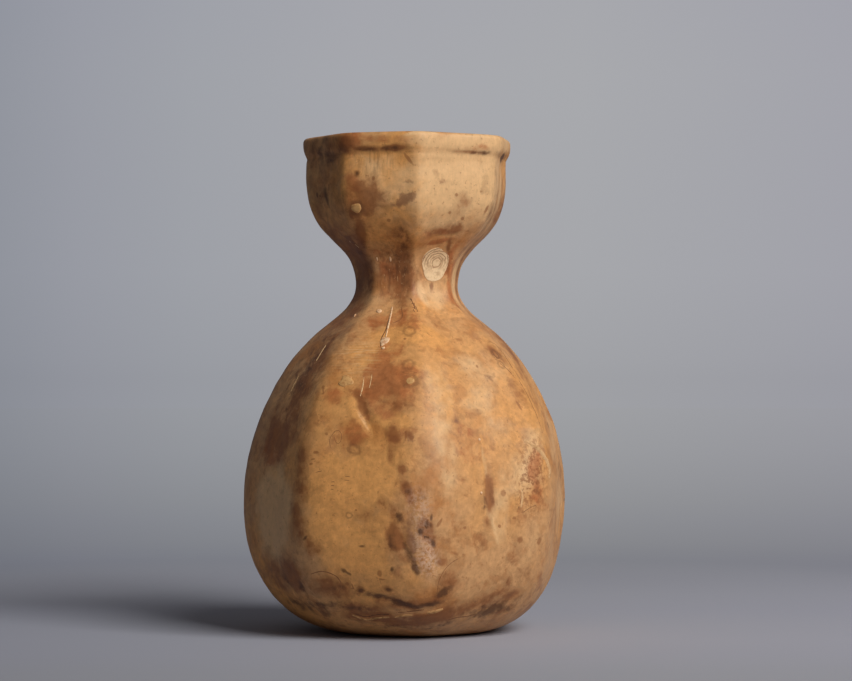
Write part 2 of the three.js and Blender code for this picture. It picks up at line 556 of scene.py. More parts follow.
class Tone(Enum):
    """The stains and textures that marks paint on the skin, by the attribute that holds them. A few gold,
    cream and brown marks paint highlights and shade instead.
    """

    GOLD = "tone_gold"
    CREAM = "tone_cream"
    RED = "tone_red"
    BROWN = "tone_brown"
    DARK = "tone_dark"
    MAUVE = "tone_mauve"
    STREAKS = "tone_streaks"
    LINES = "tone_lines"
    BLOOM = "tone_bloom"
    CRUST = "tone_crust"
    CUT = "tone_cut"


@dataclass(frozen=True)
class Mark:
    """A soft-edged patch on the skin, an ellipse laid on the surface and turned by some degrees."""

    tone: Tone
    angle: float
    height: float
    wide: float
    tall: float
    turn: float = 0.0
    strength: float = 1.0

    def weight(self, points: Array) -> Array:
        """How strongly the mark covers each point.

        Args:
            points: Places in metres.

        Returns:
            Weights from 0 to the mark's strength, about half of it at the mark's edge.
        """
        spot = SURVEYOR.footing(self.angle, self.height)
        across, along = turned(spot.around, spot.up, self.turn)
        steps = (points - np.array(spot.centre)) / MM
        u = steps @ np.array(across) / (self.wide / 2)
        v = steps @ np.array(along) / (self.tall / 2)
        deep = steps @ np.array(spot.out) / (max(self.wide, self.tall) * 0.5 + MARK_DEPTH)
        cover = self.strength * np.exp(-EDGE_FALL * np.sqrt(u * u + v * v) ** 3)
        return cover * np.exp(-EDGE_FALL * deep**4)


def marks(tone: Tone, *rows: tuple[float, ...]) -> tuple[Mark, ...]:
    """Marks of one tone, each from its angle, height, width, length, turn and strength."""
    return tuple(Mark(tone, *row) for row in rows)


CUP_MARKS = (
    *marks(Tone.CREAM, (34, 178, 44, 34), (-8, 180, 22, 14, 0, 0.35), (40, 192, 50, 8, 0, 1.1),
        # (9, 195.6) paints the pale cut edge on the rim's top and, over it, a painted highlight where the
        # edge catches the key light.
        (9, 195.6, 14, 1.6, 0, 1.2), (28, 162, 26, 9, 0, 0.7), (68, 170, 3.4, 34, -4, 1.0),
        (79, 170, 5, 34, 0, 0.8)),
    *marks(Tone.GOLD, (-12, 177, 32, 26, 0, 1.9), (-14, 163, 26, 8, 0, 0.7), (-16, 181, 34, 14, 0, 1.0),
        # (-34, 178) paints a pale worn edge along the left ridge, lightened further as a painted highlight
        # where the ridge catches the light.
        (-2, 192, 14, 7, 0, 1.0), (-34, 178, 3, 26, 0, 1.0)),
    *marks(Tone.RED, (-33, 172, 7, 16, 0, 0.9), (22, 157, 16, 6, 20, 0.5), (-33, 192, 13, 8, 0, 1.0),
        (-20, 193, 20, 4, 0, 0.7), (-3, 192, 12, 5, 0, 0.5), (44, 190.4, 16, 3, 0, 0.5)),
    *marks(Tone.BROWN, (18, 180, 4, 4, 0, 0.4), (40, 170, 7, 9, 20, 0.35), (52, 176, 5, 9, 0, 0.35),
        (-25, 169.5, 17, 18, 0, 0.9), (-20.4, 168, 9, 10, -20, 0.6), (-31.6, 164.6, 8, 6, 0, 0.8),
        (-23.8, 175.4, 8, 7, 0, 0.6), (31, 158.9, 12, 6, 12, 0.75), (37, 158.8, 11, 6, 12, 0.8),
        (34, 168, 10, 8, 0, 0.25), (-64, 172, 34, 46, 0, 0.35), (-37, 191, 9, 9, 0, 0.7),
        # (-37, 156) is painted shade: a dark diagonal band along the left ridge, where it turns away from
        # the light.
        (36, 164, 8, 7, 0, 0.25), (73, 172, 2.2, 26, 0, 0.7), (-37, 156, 6, 22, -22, 0.9),
        # The thin bands at about 189 mm darken the crease under the lip.
        (-24, 189.6, 13, 3.2, 0, 0.95), (-8.5, 189.6, 12, 3.0, 0, 0.95), (40, 188.7, 15, 1.8, 0, 0.8),
        (64, 166, 8, 9, 20, 0.5)),
    *marks(Tone.DARK, (-29, 164.5, 6, 4, 0, 0.4), (-60, 190, 34, 12, 0, 0.6),
        # The thin bands at about 188 to 189 mm darken the crease under the lip.
        (-25, 189.3, 8, 2.0, 0, 0.6), (-9, 189.5, 9, 2.0, 0, 0.7), (47, 188.6, 9, 2.0, 6, 0.7),
        (76, 188.2, 6, 4.5, 0, 0.95)),
    *marks(Tone.MAUVE, (0.5, 170.6, 7, 5.5, 10, 0.75), (-5, 168.5, 5, 3, 20, 0.6),
        (1.6, 176.7, 4, 3, 0, 0.4), (24.3, 176.7, 5, 5, 0, 0.5)),
    *marks(Tone.STREAKS, (-20, 185, 22, 9, 0, 0.6), (68, 174, 14, 32, 0, 0.8)),
)

WAIST_MARKS = (
    *marks(Tone.CREAM, (33, 133, 10, 14, 0, 0.7), (20, 133, 4, 10, 16, 0.9), (72, 141, 4, 26, 0, 1.0)),
    *marks(Tone.GOLD, (-14, 157, 24, 7, 0, 1.3), (30, 128, 26, 10, 0, 0.5)),
    *marks(Tone.RED, (-20, 143, 12, 22, 0, 0.7), (28, 154, 14, 3.0, 16, 1.0), (50, 149, 4, 16, -10, 1.0),
        (60, 140, 4, 18, 0, 1.0), (-9, 123, 26, 14, 0, 0.75), (5, 133, 5, 14, 0, 0.6)),
    *marks(Tone.BROWN, (-6, 126, 14, 9, 0, 0.25), (-14, 147, 16, 20, 0, 0.5),
        (-2.6, 146, 9, 36, 0, 0.85), (-65, 145, 22, 44, 0, 0.85), (26, 153.6, 9, 1.6, 16, 0.7),
        (42, 153, 2.0, 9, 16, 0.8), (52, 146, 1.6, 14, 14, 0.7), (40, 128, 3, 9, -20, 0.35),
        # (84, 142) is painted shade: a dark line down the waist's far right facet, which the key light
        # reaches only at a grazing angle.
        (-2, 134, 9, 8, 0, 0.5), (84, 142, 4, 34, 0, 0.8), (30, 124, 26, 3, 0, 0.35)),
    *marks(Tone.DARK, (-39.7, 153.6, 5, 6, 0, 0.4), (-0.2, 155, 4, 10, 0, 0.5),
        (-2.4, 154, 5, 20, 0, 0.55), (-4, 141, 8, 18, 0, 0.3), (-4.6, 159.6, 2.4, 7, 0, 0.6),
        (-48, 143, 8, 34, 0, 0.4)),
    *marks(Tone.MAUVE, (33, 136.4, 2.2, 5, -10, 0.7)),
    *marks(Tone.STREAKS, (-14, 143, 14, 28, 0, 0.9)),
)

SHOULDER_MARKS = (
    *marks(Tone.CREAM, (34, 106, 26, 16, 0, 0.42), (30, 94, 30, 14, 0, 0.3), (16, 98, 14, 26, 0, 0.4)),
    *marks(Tone.GOLD, (-20, 110, 30, 14, 0, 0.55), (2, 118, 30, 12, 0, 0.9),
        # (-17.2, 84.4) and (-20.8, 88.5) are a painted highlight along the raised left edge of the Y-shaped
        # fold.
        (-17.2, 84.4, 2.4, 13, 34, 2.0), (-20.8, 88.5, 4, 12, 28, 1.2), (-4, 84, 14, 6, 0, 1.0)),
    *marks(Tone.RED, (-12, 112, 16, 8, 0, 0.45), (-9, 100, 22, 28, 0, 1.1), (-2, 103, 12, 16, 0, 0.9),
        (-32, 94, 9, 9, 0, 0.8), (-21, 80, 14, 12, 0, 0.8), (23, 74, 9, 16, 0, 0.6)),
    # (80, 112) is painted shade on the shoulder's far right facet, which the key light reaches only at a
    # grazing angle.
    *marks(Tone.BROWN, (16, 82, 14, 18, 0, 0.15), (80, 112, 10, 34, -24, 0.7),
        (-50, 118, 22, 12, 20, 0.5), (-8, 98, 12, 20, 10, 0.5), (-2, 90, 15, 5, -6, 0.6),
        (4, 96, 8, 18, 0, 0.5), (-18.5, 90, 4, 15, 25, 0.8), (-25.6, 77, 4, 6, 20, 0.4),
        (-17.5, 76, 4, 7, 0, 0.5), (-20, 75, 12, 9, 0, 0.7), (-5.2, 79.4, 7, 9, 0, 0.6),
        (-52, 96, 14, 50, 0, 0.8), (54.6, 109.6, 5, 13, 30, 0.55), (53, 98, 5, 18, 14, 0.5),
        (28, 87.5, 9, 2.6, 14, 0.6)),
    *marks(Tone.DARK, (-60, 104, 18, 42, 0, 0.45)),
    *marks(Tone.MAUVE, (1.1, 78.8, 4, 5, 0, 0.5), (42.5, 100.7, 5, 5, 0, 0.6), (20, 80, 6, 18, 0, 0.3)),
    *marks(Tone.STREAKS, (-52, 104, 12, 40, 10, 0.9)),
    *marks(Tone.LINES, (-26, 109, 16, 16)),
)

BELLY_MARKS = (
    *marks(Tone.CREAM, (14, 76, 10, 28, 0, 0.62), (38, 84, 18, 24, 0, 0.35), (-56, 48, 26, 32, 0, 1.35),
        (37, 50, 10, 24, 0, 0.55), (31.0, 62, 1.8, 26, 2, 0.8), (34.4, 44, 1.8, 16, 20, 0.8),
        (50, 66, 15, 28, -14, 0.6)),
    *marks(Tone.GOLD, (-20, 50, 34, 44, 0, 1.0), (-8, 62, 14, 16, 0, 0.8), (-20, 32, 26, 12, 0, 0.7)),
    *marks(Tone.RED, (52.6, 67, 7, 12, -14, 0.8), (53, 56, 8, 9, 0, 0.9), (-60, 72, 24, 12, 0, 0.6)),
    *marks(Tone.BROWN, (3, 42, 18, 24, 0, 0.4), (-5.9, 72, 2.2, 11, 6, 0.5), (-1.5, 66, 4.5, 6, 20, 0.9),
        (0.4, 59, 4.5, 12, 16, 0.9), (-4.2, 51, 6, 6, 0, 0.8), (-3.4, 40, 7, 13, 8, 0.95),
        (2, 46, 20, 30, 0, 0.2), (0.6, 34, 8, 10, 20, 0.6), (7.2, 44.4, 7, 10, 20, 1.0),
        (9.2, 40, 4, 7, 24, 0.8), (12, 37, 8, 12, 0, 0.4), (13.4, 31.5, 5, 5, 0, 0.8),
        (-14, 46, 12, 12, 0, 0.45), (-8, 48, 6, 12, 0, 0.4), (17.5, 25.5, 10, 15, -26, 0.62),
        (-7.5, 54, 5, 7, 0, 0.6), (9, 47, 5, 9, -30, 0.5), (32, 57, 5, 20, 0, 0.9),
        (31.2, 46.5, 3.4, 4, 0, 0.8), (-60, 78, 26, 26, 0, 0.8), (-39, 58, 9, 46, 0, 0.75),
        (-38, 48, 5, 20, 0, 0.4), (-55, 25, 30, 18, 0, 0.9), (-34, 34, 9, 12, 0, 0.6),
        (28, 40, 18, 12, 0, 0.25), (48, 30, 16, 16, 0, 0.35)),
    *marks(Tone.DARK, (-1.3, 66, 2.4, 3.6, 20, 0.5), (0.8, 57.5, 2.6, 6, 16, 0.5),
        (-1.7, 48.3, 3, 5.4, 30, 0.8), (-4.8, 38.6, 2.4, 10, 6, 0.55), (-1.4, 43.4, 3, 3.6, 0, 0.5),
        (2.2, 32.6, 3.0, 14, 24, 1.0), (-3.2, 40.6, 6, 11, 8, 0.35), (7.2, 44.6, 5, 8, 12, 0.35),
        (5.4, 43, 3, 3.4, 0, 0.8), (7.8, 46, 3.4, 5, 0, 0.6), (8.3, 40.4, 2, 3, 20, 0.6),
        (14.6, 19.6, 8, 4.6, 24, 0.85), (12.6, 20.5, 2.6, 6, -8, 0.7), (29.8, 52.4, 2.6, 7.5, 0, 0.75),
        (33.4, 56.5, 2.4, 6, 0, 0.5), (54, 57, 4, 5, 0, 0.5)),
    *marks(Tone.MAUVE, (2.2, 39, 3, 11, 12, 0.9)),
    *marks(Tone.BLOOM, (5.0, 51.5, 7.5, 14, 6, 0.5), (4.6, 39, 3.4, 9, 10, 0.6),
        (8.0, 33, 7, 13, 10, 0.8)),
    *marks(Tone.CRUST, (51, 63, 14, 30, -14, 1.0)),
)

FOOT_MARKS = (
    *marks(Tone.BROWN, (0, 8, 40, 8, 0, 0.25), (-29, 20, 26, 10, 0, 0.55), (-31, 24, 14, 3, 10, 0.6),
        (-5, 15, 22, 7, -14, 0.7), (8, 16, 14, 5, 10, 0.7), (-20, 13, 20, 6, 0, 0.8),
        (0, 8, 60, 9, 0, 0.9), (40, 16, 24, 10, 10, 0.7), (44.6, 22.2, 4, 7, 0, 0.6)),
    *marks(Tone.DARK, (-28, 20.5, 10, 3, 10, 0.6), (-44, 20, 4, 7, 10, 0.6), (-53, 22, 4, 7, 20, 0.6),
        (-12, 18, 12, 2.6, -6, 0.9), (-3, 15.4, 11, 3.2, -22, 1.0), (9, 14.6, 14, 3.2, 14, 0.9),
        (-22, 13, 14, 2.8, 0, 0.75), (0, 5, 60, 5, 0, 0.45), (-45, 12, 40, 10, 0, 0.6),
        (42, 11, 24, 8, 10, 0.8), (31, 15.5, 4, 2, 20, 0.6)),
)

FAR_MARKS = (
    *marks(Tone.CREAM, (78, 60, 20, 60, 0, 0.35), (120, 100, 40, 30, 0, 0.8), (165, 172, 26, 26, 0, 0.8),
        (195, 52, 24, 34, 0, 0.8), (255, 176, 22, 24, 0, 0.7)),
    *marks(Tone.RED, (118, 70, 26, 30, 0, 0.7), (165, 96, 24, 26, 0, 0.8), (228, 66, 24, 34, 0, 0.7)),
    *marks(Tone.BROWN, (112, 42, 22, 26, 20, 0.7), (95, 165, 20, 16, 0, 0.6),
        (150, 188.6, 30, 2.5, 0, 0.9), (172, 74, 18, 18, 0, 0.7), (200, 112, 26, 12, 0, 0.7),
        (220, 168, 18, 20, 0, 0.8), (250, 40, 22, 20, 0, 0.7)),
    *marks(Tone.DARK, (125, 20, 26, 8, 0, 0.7), (130, 148, 14, 20, 0, 0.6), (160, 36, 6, 26, 10, 0.8),
        (205, 14, 34, 8, 0, 0.8), (235, 90, 6, 20, 20, 0.6), (262, 12, 30, 8, 0, 0.7),
        (240, 188.8, 22, 2.8, 0, 0.8)),
    *marks(Tone.STREAKS, (120, 146, 30, 30, 0, 0.9), (215, 145, 20, 30, 0, 0.9)),
    *marks(Tone.BLOOM, (166, 34, 9, 18, 10, 0.9)),
)

ALL_MARKS = CUP_MARKS + WAIST_MARKS + SHOULDER_MARKS + BELLY_MARKS + FOOT_MARKS + FAR_MARKS


class FleckKind(Enum):
    """The small crisp spots on the skin, by the attribute that holds them."""

    DARK = "flecks_dark"
    BROWN = "flecks_brown"
    RING = "flecks_ring"


@dataclass(frozen=True)
class Fleck:
    """A small crisp spot, an ellipse laid on the skin."""

    kind: FleckKind
    angle: float
    height: float
    wide: float
    tall: float
    turn: float = 0.0


def flecks(kind: FleckKind, *rows: tuple[float, ...]) -> tuple[Fleck, ...]:
    """Flecks of one kind, each from its angle, height, width, length and turn."""
    return tuple(Fleck(kind, *row) for row in rows)


FLECKS = (
    *flecks(FleckKind.DARK, (-29.6, 180.1, 1.4, 1.8), (-58.9, 172.2, 2.6, 7.2, 8),
        (-69.8, 173, 1.4, 2.2), (-15.2, 37.2, 2.6, 0.9), (-36.1, 39.8, 2.6, 1.0, 35),
        (-22.8, 27.8, 2.2, 1.5, -20), (-21.0, 26.6, 1.8, 1.0, -40), (-4.6, 28.4, 1.4, 2.0),
        (-17.6, 20.2, 2.4, 1.8, 10), (-6.6, 20.7, 2.8, 1.4, -15), (5.3, 43.0, 1.9, 2.2),
        (9.9, 38.4, 1.5, 2.8, 20), (9.0, 48.0, 1.0, 2.4), (77, 82, 1.6, 2.2), (92, 52, 2.4, 1.2, 20),
        (123, 60, 1.4, 2.4), (155, 108, 1.4, 1.8), (168, 56, 2.6, 1.0), (176, 62, 1.4, 1.2),
        (203, 44, 2.2, 1.4, -20), (238, 56, 1.8, 2.6), (247, 72, 1.2, 1.2), (268, 46, 2.4, 1.2, 30)),
    *flecks(FleckKind.BROWN, (-29.6, 180.1, 2.8, 3.4), (0.9, 185.4, 1.3, 6.0, 38),
        (56, 167, 1.4, 4.0, -20), (-20, 178, 1.4, 1.8), (-36, 164, 2.0, 4.0), (-12, 162, 1.8, 1.6),
        (33, 172, 1.4, 1.4), (41, 163, 1.8, 1.6), (30, 165, 1.4, 1.4), (-37.4, 97.2, 1.4, 1.6),
        (-36.4, 94.9, 1.0, 1.2), (38.5, 105.3, 1.2, 1.6), (52, 90, 1.2, 5.0, 20),
        (-4.9, 79.0, 4.6, 6.8, 10), (1.2, 78.9, 2.6, 3.8, 20), (-34.8, 68.0, 1.6, 1.0),
        (-33.6, 72.4, 2.2, 1.4), (-17.3, 50.8, 1.1, 0.9), (-9.4, 26.9, 2.2, 2.8), (-22.5, 22.6, 1.6, 1.6),
        (-17.6, 20.4, 4.0, 3.2, 10), (-7.0, 20.9, 4.8, 3.0, -15), (12.0, 46.0, 1.4, 4.0, -30),
        (38.3, 56.7, 2.6, 2.8), (46.6, 38.4, 2.8, 2.8), (55.6, 37.7, 2.6, 3.2), (43.4, 47.0, 2.0, 1.4),
        (37.0, 44, 1.4, 1.4), (22, 44, 1.6, 1.2), (101, 88, 3.0, 3.4), (132, 34, 4.0, 3.0),
        (181, 168, 4.0, 4.4), (214, 30, 3.6, 3.0), (256, 96, 3.6, 4.6)),
    *flecks(FleckKind.RING, (-31.8, 166.7, 5.4, 5.4), (1.6, 118.9, 4.2, 5.4, 20), (0.5, 105.7, 4.4, 5.0),
        (1.3, 99.6, 5.6, 5.2), (-19.5, 73.6, 5.0, 3.6, -20), (54.0, 110.1, 3.0, 4.4, 35),
        (53.0, 106, 2.6, 3.6, 35), (-19.8, 48.9, 2.4, 2.2), (84, 64, 5.0, 6.0), (110, 118, 4.0, 5.0),
        (148, 84, 6.5, 5.0, 20), (192, 92, 5.0, 6.0), (226, 104, 5.0, 4.0)),
)


def places_in_flecks(kind: FleckKind, points: Array) -> Array:
    """Where each point lies in its nearest fleck of a kind.

    Args:
        kind: Which flecks are looked at.
        points: Places in metres.

    Returns:
        Rows of the place across and along the fleck, 1 at its edge, and a third number that is 0 in the
        fleck and grows with the distance from it, so that no fleck shows halfway between two others.
    """
    nearest = np.full(len(points), np.inf)
    rows = np.zeros((len(points), 3))
    for fleck in (f for f in FLECKS if f.kind is kind):
        spot = SURVEYOR.footing(fleck.angle, fleck.height)
        across, along = turned(spot.around, spot.up, fleck.turn)
        steps = (points - np.array(spot.centre)) / MM
        beyond = np.linalg.norm(steps, axis=1) - max(fleck.wide, fleck.tall) / 2
        u = steps @ np.array(across) / (fleck.wide / 2)
        v = steps @ np.array(along) / (fleck.tall / 2)
        closer = beyond < nearest
        rows[closer] = np.stack([u, v, FLECK_FADE * np.maximum(beyond - FLECK_REACH, 0)], 1)[closer]
        nearest = np.minimum(nearest, beyond)
    return rows


@dataclass(frozen=True)
class Fold:
    """A groove or a raised line that grew into the skin, along a path of angles and heights."""

    path: Path
    width: float
    depth: float

    def offset(self, points: Array) -> Array:
        """How far the fold moves points of the skin out along their normals.

        Args:
            points: Places in metres.

        Returns:
            The steps out, in metres.
        """
        line = SURVEYOR.path(self.path, step=0.8)
        tip = 0.12
        ease = np.sin(np.linspace(tip, math.pi - tip, len(line))) ** 0.6
        height = np.zeros(len(points))
        margin = 3 * self.width * MM
        near = np.flatnonzero(((points > line.min(0) - margin) & (points < line.max(0) + margin)).all(1))
        gaps = np.linalg.norm(points[near, None] - line[None], axis=2) / MM
        height[near] = (bell(gaps, self.width / 2) * ease).max(1, initial=0)
        return height * self.depth * MM


FOLDS = [
    Fold(((-22.7, 94.4), (-18.8, 89.7), (-14.7, 84.4), (-14.1, 78.7)), 3.0, -0.55),
    Fold(((-18.9, 99), (-18.6, 94), (-17, 90)), 2.4, -0.35),
    Fold(((-24, 90.5), (-20.3, 86), (-17.2, 81)), 3.0, 0.35),
    Fold(((28.9, 77), (29.0, 65.7), (29.8, 58.1), (31.3, 51.2), (33.0, 44.7), (36.3, 36.9)), 2.2, 0.40),
    Fold(((30.8, 72), (31.2, 62), (32.6, 52), (34.6, 45)), 2.6, -0.40),
    Fold(((27.6, 58), (28.2, 50), (29.5, 44)), 2.6, -0.30),
    Fold(((3.7, 60), (1.5, 50), (-1.5, 42), (1, 33), (4, 26)), 3.4, -0.60),
    Fold(((-3, 52), (-5.5, 44), (-4.4, 36)), 3.0, -0.45),
    Fold(((6, 50), (5, 42), (7, 34), (8, 28)), 4.0, 0.40),
    Fold(((-15.7, 17.9), (-6.1, 17.0), (-0.2, 13.6), (3.3, 12.0), (8.0, 13.0), (16.7, 15.7)), 2.8, -0.60),
    Fold(((-27, 11.6), (-19.2, 9.6), (-14.3, 11.0), (-8, 11.2), (2, 12.0)), 2.6, -0.45),
    Fold(((-25.3, 10.0), (-19.2, 7.7), (-14.3, 9.1), (-8.2, 9.5), (2, 10.2), (15, 11.5)), 2.6, 0.40),
    Fold(((49.6, 78.3), (53.0, 76.4), (56.9, 72.8), (60.0, 68.9), (60.7, 65.0), (58.7, 61.9)), 2.8, 0.7),
    Fold(((48.1, 71.1), (46.0, 61.5), (46.9, 53.8), (45.4, 49.3)), 2.4, -0.5),
    Fold(((39.4, 152.9), (52.9, 146.5), (56.6, 139.5), (62.1, 133.6), (66, 129.7)), 1.8, -0.35),
    Fold(((-60, 40), (-57, 26), (-50, 15)), 4.0, -0.5),
    Fold(((-70, 34), (-66, 22), (-60, 12)), 4.0, -0.5),
    Fold(((-48, 30), (-44, 20), (-38, 12)), 3.4, -0.4),
    Fold(((36, 12), (44, 14), (55, 20)), 3.0, -0.4),
    Fold(((150, 60), (157, 46), (160, 34), (158, 24)), 3.4, -0.6),
    Fold(((196, 84), (202, 74), (204, 62)), 3.0, 0.45),
    Fold(((112, 34), (120, 24), (131, 17), (142, 14)), 3.2, -0.55),
    Fold(((236, 100), (240, 88), (238, 76)), 3.0, -0.5),
    Fold(((88, 96), (92, 84), (90, 70)), 2.6, 0.4),
    Fold(((190, 16), (204, 13), (220, 15), (233, 12)), 3.0, -0.6),
]


class Board:
    """One node tree, with short ways to add the nodes that the finishes use."""

    def __init__(self, owner: Material | bpy.types.World, coordinates: str = "Object") -> None:
        """Empties the owner's tree and reads the place that is being coloured.

        Args:
            owner: The material or world that the tree belongs to.
            coordinates: Which coordinates give the place.
        """
        owner.use_nodes = True
        self.owner = owner
        self.tree = owner.node_tree
        self.tree.nodes.clear()
        self.place = self.node("ShaderNodeTexCoord").outputs[coordinates]

    def node(self, kind: str, sockets: dict | None = None, **settings: object) -> bpy.types.Node:
        """Adds a node.

        Args:
            kind: The node's type.
            sockets: Values or links for its inputs, by name or number.
            **settings: Its other settings.

        Returns:
            The node.
        """
        made = self.tree.nodes.new(kind)
        for name, value in settings.items():
            setattr(made, name, value)
        for socket, value in (sockets or {}).items():
            if isinstance(value, Socket):
                self.tree.links.new(value, made.inputs[socket])
            else:
                made.inputs[socket].default_value = value
        return made

    def sum(self, operation: str, first: Socket | float, second: Socket | float = 0.0,
            third: Socket | float = 0.0) -> Socket:
        """Works one sum on two or three numbers."""
        return self.node("ShaderNodeMath", {0: first, 1: second, 2: third}, operation=operation).outputs[0]

    def noise(self, grain: float, detail: float = 4.0, roughness: float = 0.5, distortion: float = 0.0,
              stretch: tuple[float, float, float] = (1, 1, 1), where: Socket | None = None) -> Socket:
        """Adds a noise pattern.

        Args:
            grain: The size of its largest lumps.
            detail: How many finer layers it has.
            roughness: How strong the finer layers are.
            distortion: How far it is swirled.
            stretch: How it is drawn out along each axis.
            where: The place that it reads, or None for the place on the object.

        Returns:
            The pattern, about 0.5 on average.
        """
        scale = tuple(1 / s for s in stretch)
        drawn = self.node("ShaderNodeMapping", {"Vector": where or self.place, "Scale": scale})
        sockets = {"Vector": drawn.outputs[0], "Scale": 1 / (grain * MM), "Detail": detail,
                   "Roughness": roughness, "Distortion": distortion}
        return self.node("ShaderNodeTexNoise", sockets).outputs["Fac"]

    def push(self, grain: float) -> Socket:
        """A push this way and that, from noise of the given grain."""
        sockets = {"Vector": self.place, "Scale": 1 / (grain * MM), "Detail": 4.0}
        swirl = self.node("ShaderNodeTexNoise", sockets).outputs["Color"]
        return self.node("ShaderNodeVectorMath", {0: swirl, 1: (0.5,) * 3}, operation="SUBTRACT").outputs[0]

    def warped(self, amount: float, grain: float) -> Socket:
        """The place on the object, pushed about.

        Args:
            amount: How far it is pushed, in millimetres.
            grain: The size of the noise's largest lumps, in millimetres.

        Returns:
            The place.
        """
        sockets = {0: self.push(grain), 1: (2 * amount * MM,) * 3, 2: self.place}
        return self.node("ShaderNodeVectorMath", sockets, operation="MULTIPLY_ADD").outputs[0]

    def band(self, value: Socket, low: float, high: float, top: float = 1.0) -> Socket:
        """Eases a value from 0 at low to the top at high."""
        sockets = {"Value": value, "From Min": low, "From Max": high, "To Max": top}
        return self.node("ShaderNodeMapRange", sockets, interpolation_type="SMOOTHSTEP").outputs[0]

    def rescale(self, value: Socket, old: Span, new: Span = (0, 1)) -> Socket:
        """Moves a value from one range to another, clamped at the ends."""
        limits = zip(("From Min", "From Max", "To Min", "To Max"), (*old, *new))
        sockets = {"Value": value, **dict(limits)}
        return self.node("ShaderNodeMapRange", sockets).outputs[0]

    def ramp(self, value: Socket, stops: Stops) -> Socket:
        """Reads a colour off a row of stops.

        Args:
            value: What is looked up, from 0 to 1.
            stops: Places from 0 to 1, each with its colour.

        Returns:
            The colour.
        """
        ramp = self.node("ShaderNodeValToRGB", {0: value})
        elements = ramp.color_ramp.elements
        while len(elements) < len(stops):
            elements.new(0.5)
        for element, (place, colour) in zip(elements, stops):
            element.position = place
            element.color = colour
        return ramp.outputs[0]

    def mix(self, share: Socket | float, under: Socket | Colour, over: Socket | Colour,
            blend: str = "MIX") -> Socket:
        """Lays one colour over another."""
        sockets = {0: share, 6: under, 7: over}
        return self.node("ShaderNodeMix", sockets, data_type="RGBA", blend_type=blend).outputs[2]

    def tone(self, tone: Tone) -> Socket:
        """Reads what the marks painted of one tone."""
        return self.node("ShaderNodeAttribute", attribute_name=tone.value).outputs["Fac"]

    def field(self, tone: Tone, share: float, pattern: Socket) -> Socket:
        """Adds a share of a tone to a pattern, so that the tone's edges follow the pattern."""
        return self.sum("MULTIPLY_ADD", self.tone(tone), share, pattern)

    def fleck(self, kind: FleckKind, wobble: Socket) -> Socket:
        """The distance from the middle of the nearest fleck of a kind, 1 at its edge.

        Args:
            kind: Which flecks to read.
            wobble: What makes their outlines uneven.

        Returns:
            The distance.
        """
        held = self.node("ShaderNodeAttribute", attribute_name=kind.value).outputs["Vector"]
        place = self.node("ShaderNodeVectorMath", {0: held, 1: wobble}, operation="ADD").outputs[0]
        return self.node("ShaderNodeVectorMath", {0: place}, operation="LENGTH").outputs["Value"]

    def bump(self, height: Socket, distance: float, strength: float, under: Socket | None = None) -> Socket:
        """Turns a pattern into a small unevenness of the surface.

        Args:
            height: The pattern.
            distance: How deep it goes, in millimetres.
            strength: How much of it shows, from 0 to 1.
            under: Another unevenness that it lies on.

        Returns:
            The surface's direction.
        """
        sockets = {"Height": height, "Distance": distance * MM, "Strength": strength}
        if under is not None:
            sockets["Normal"] = under
        return self.node("ShaderNodeBump", sockets).outputs[0]

    def finish(self, colour: Socket | Colour, roughness: Socket | float, normal: Socket) -> Material:
        """Ends the tree in a shader.

        Args:
            colour: The surface's colour.
            roughness: How dull it is, from 0 to 1.
            normal: The surface's direction.

        Returns:
            The material.
        """
        shader = self.node("ShaderNodeBsdfPrincipled", {
            "Base Color": colour, "Roughness": roughness, "Specular IOR Level": 0.3, "Normal": normal,
        })
        self.node("ShaderNodeOutputMaterial", {"Surface": shader.outputs[0]})
        return self.owner


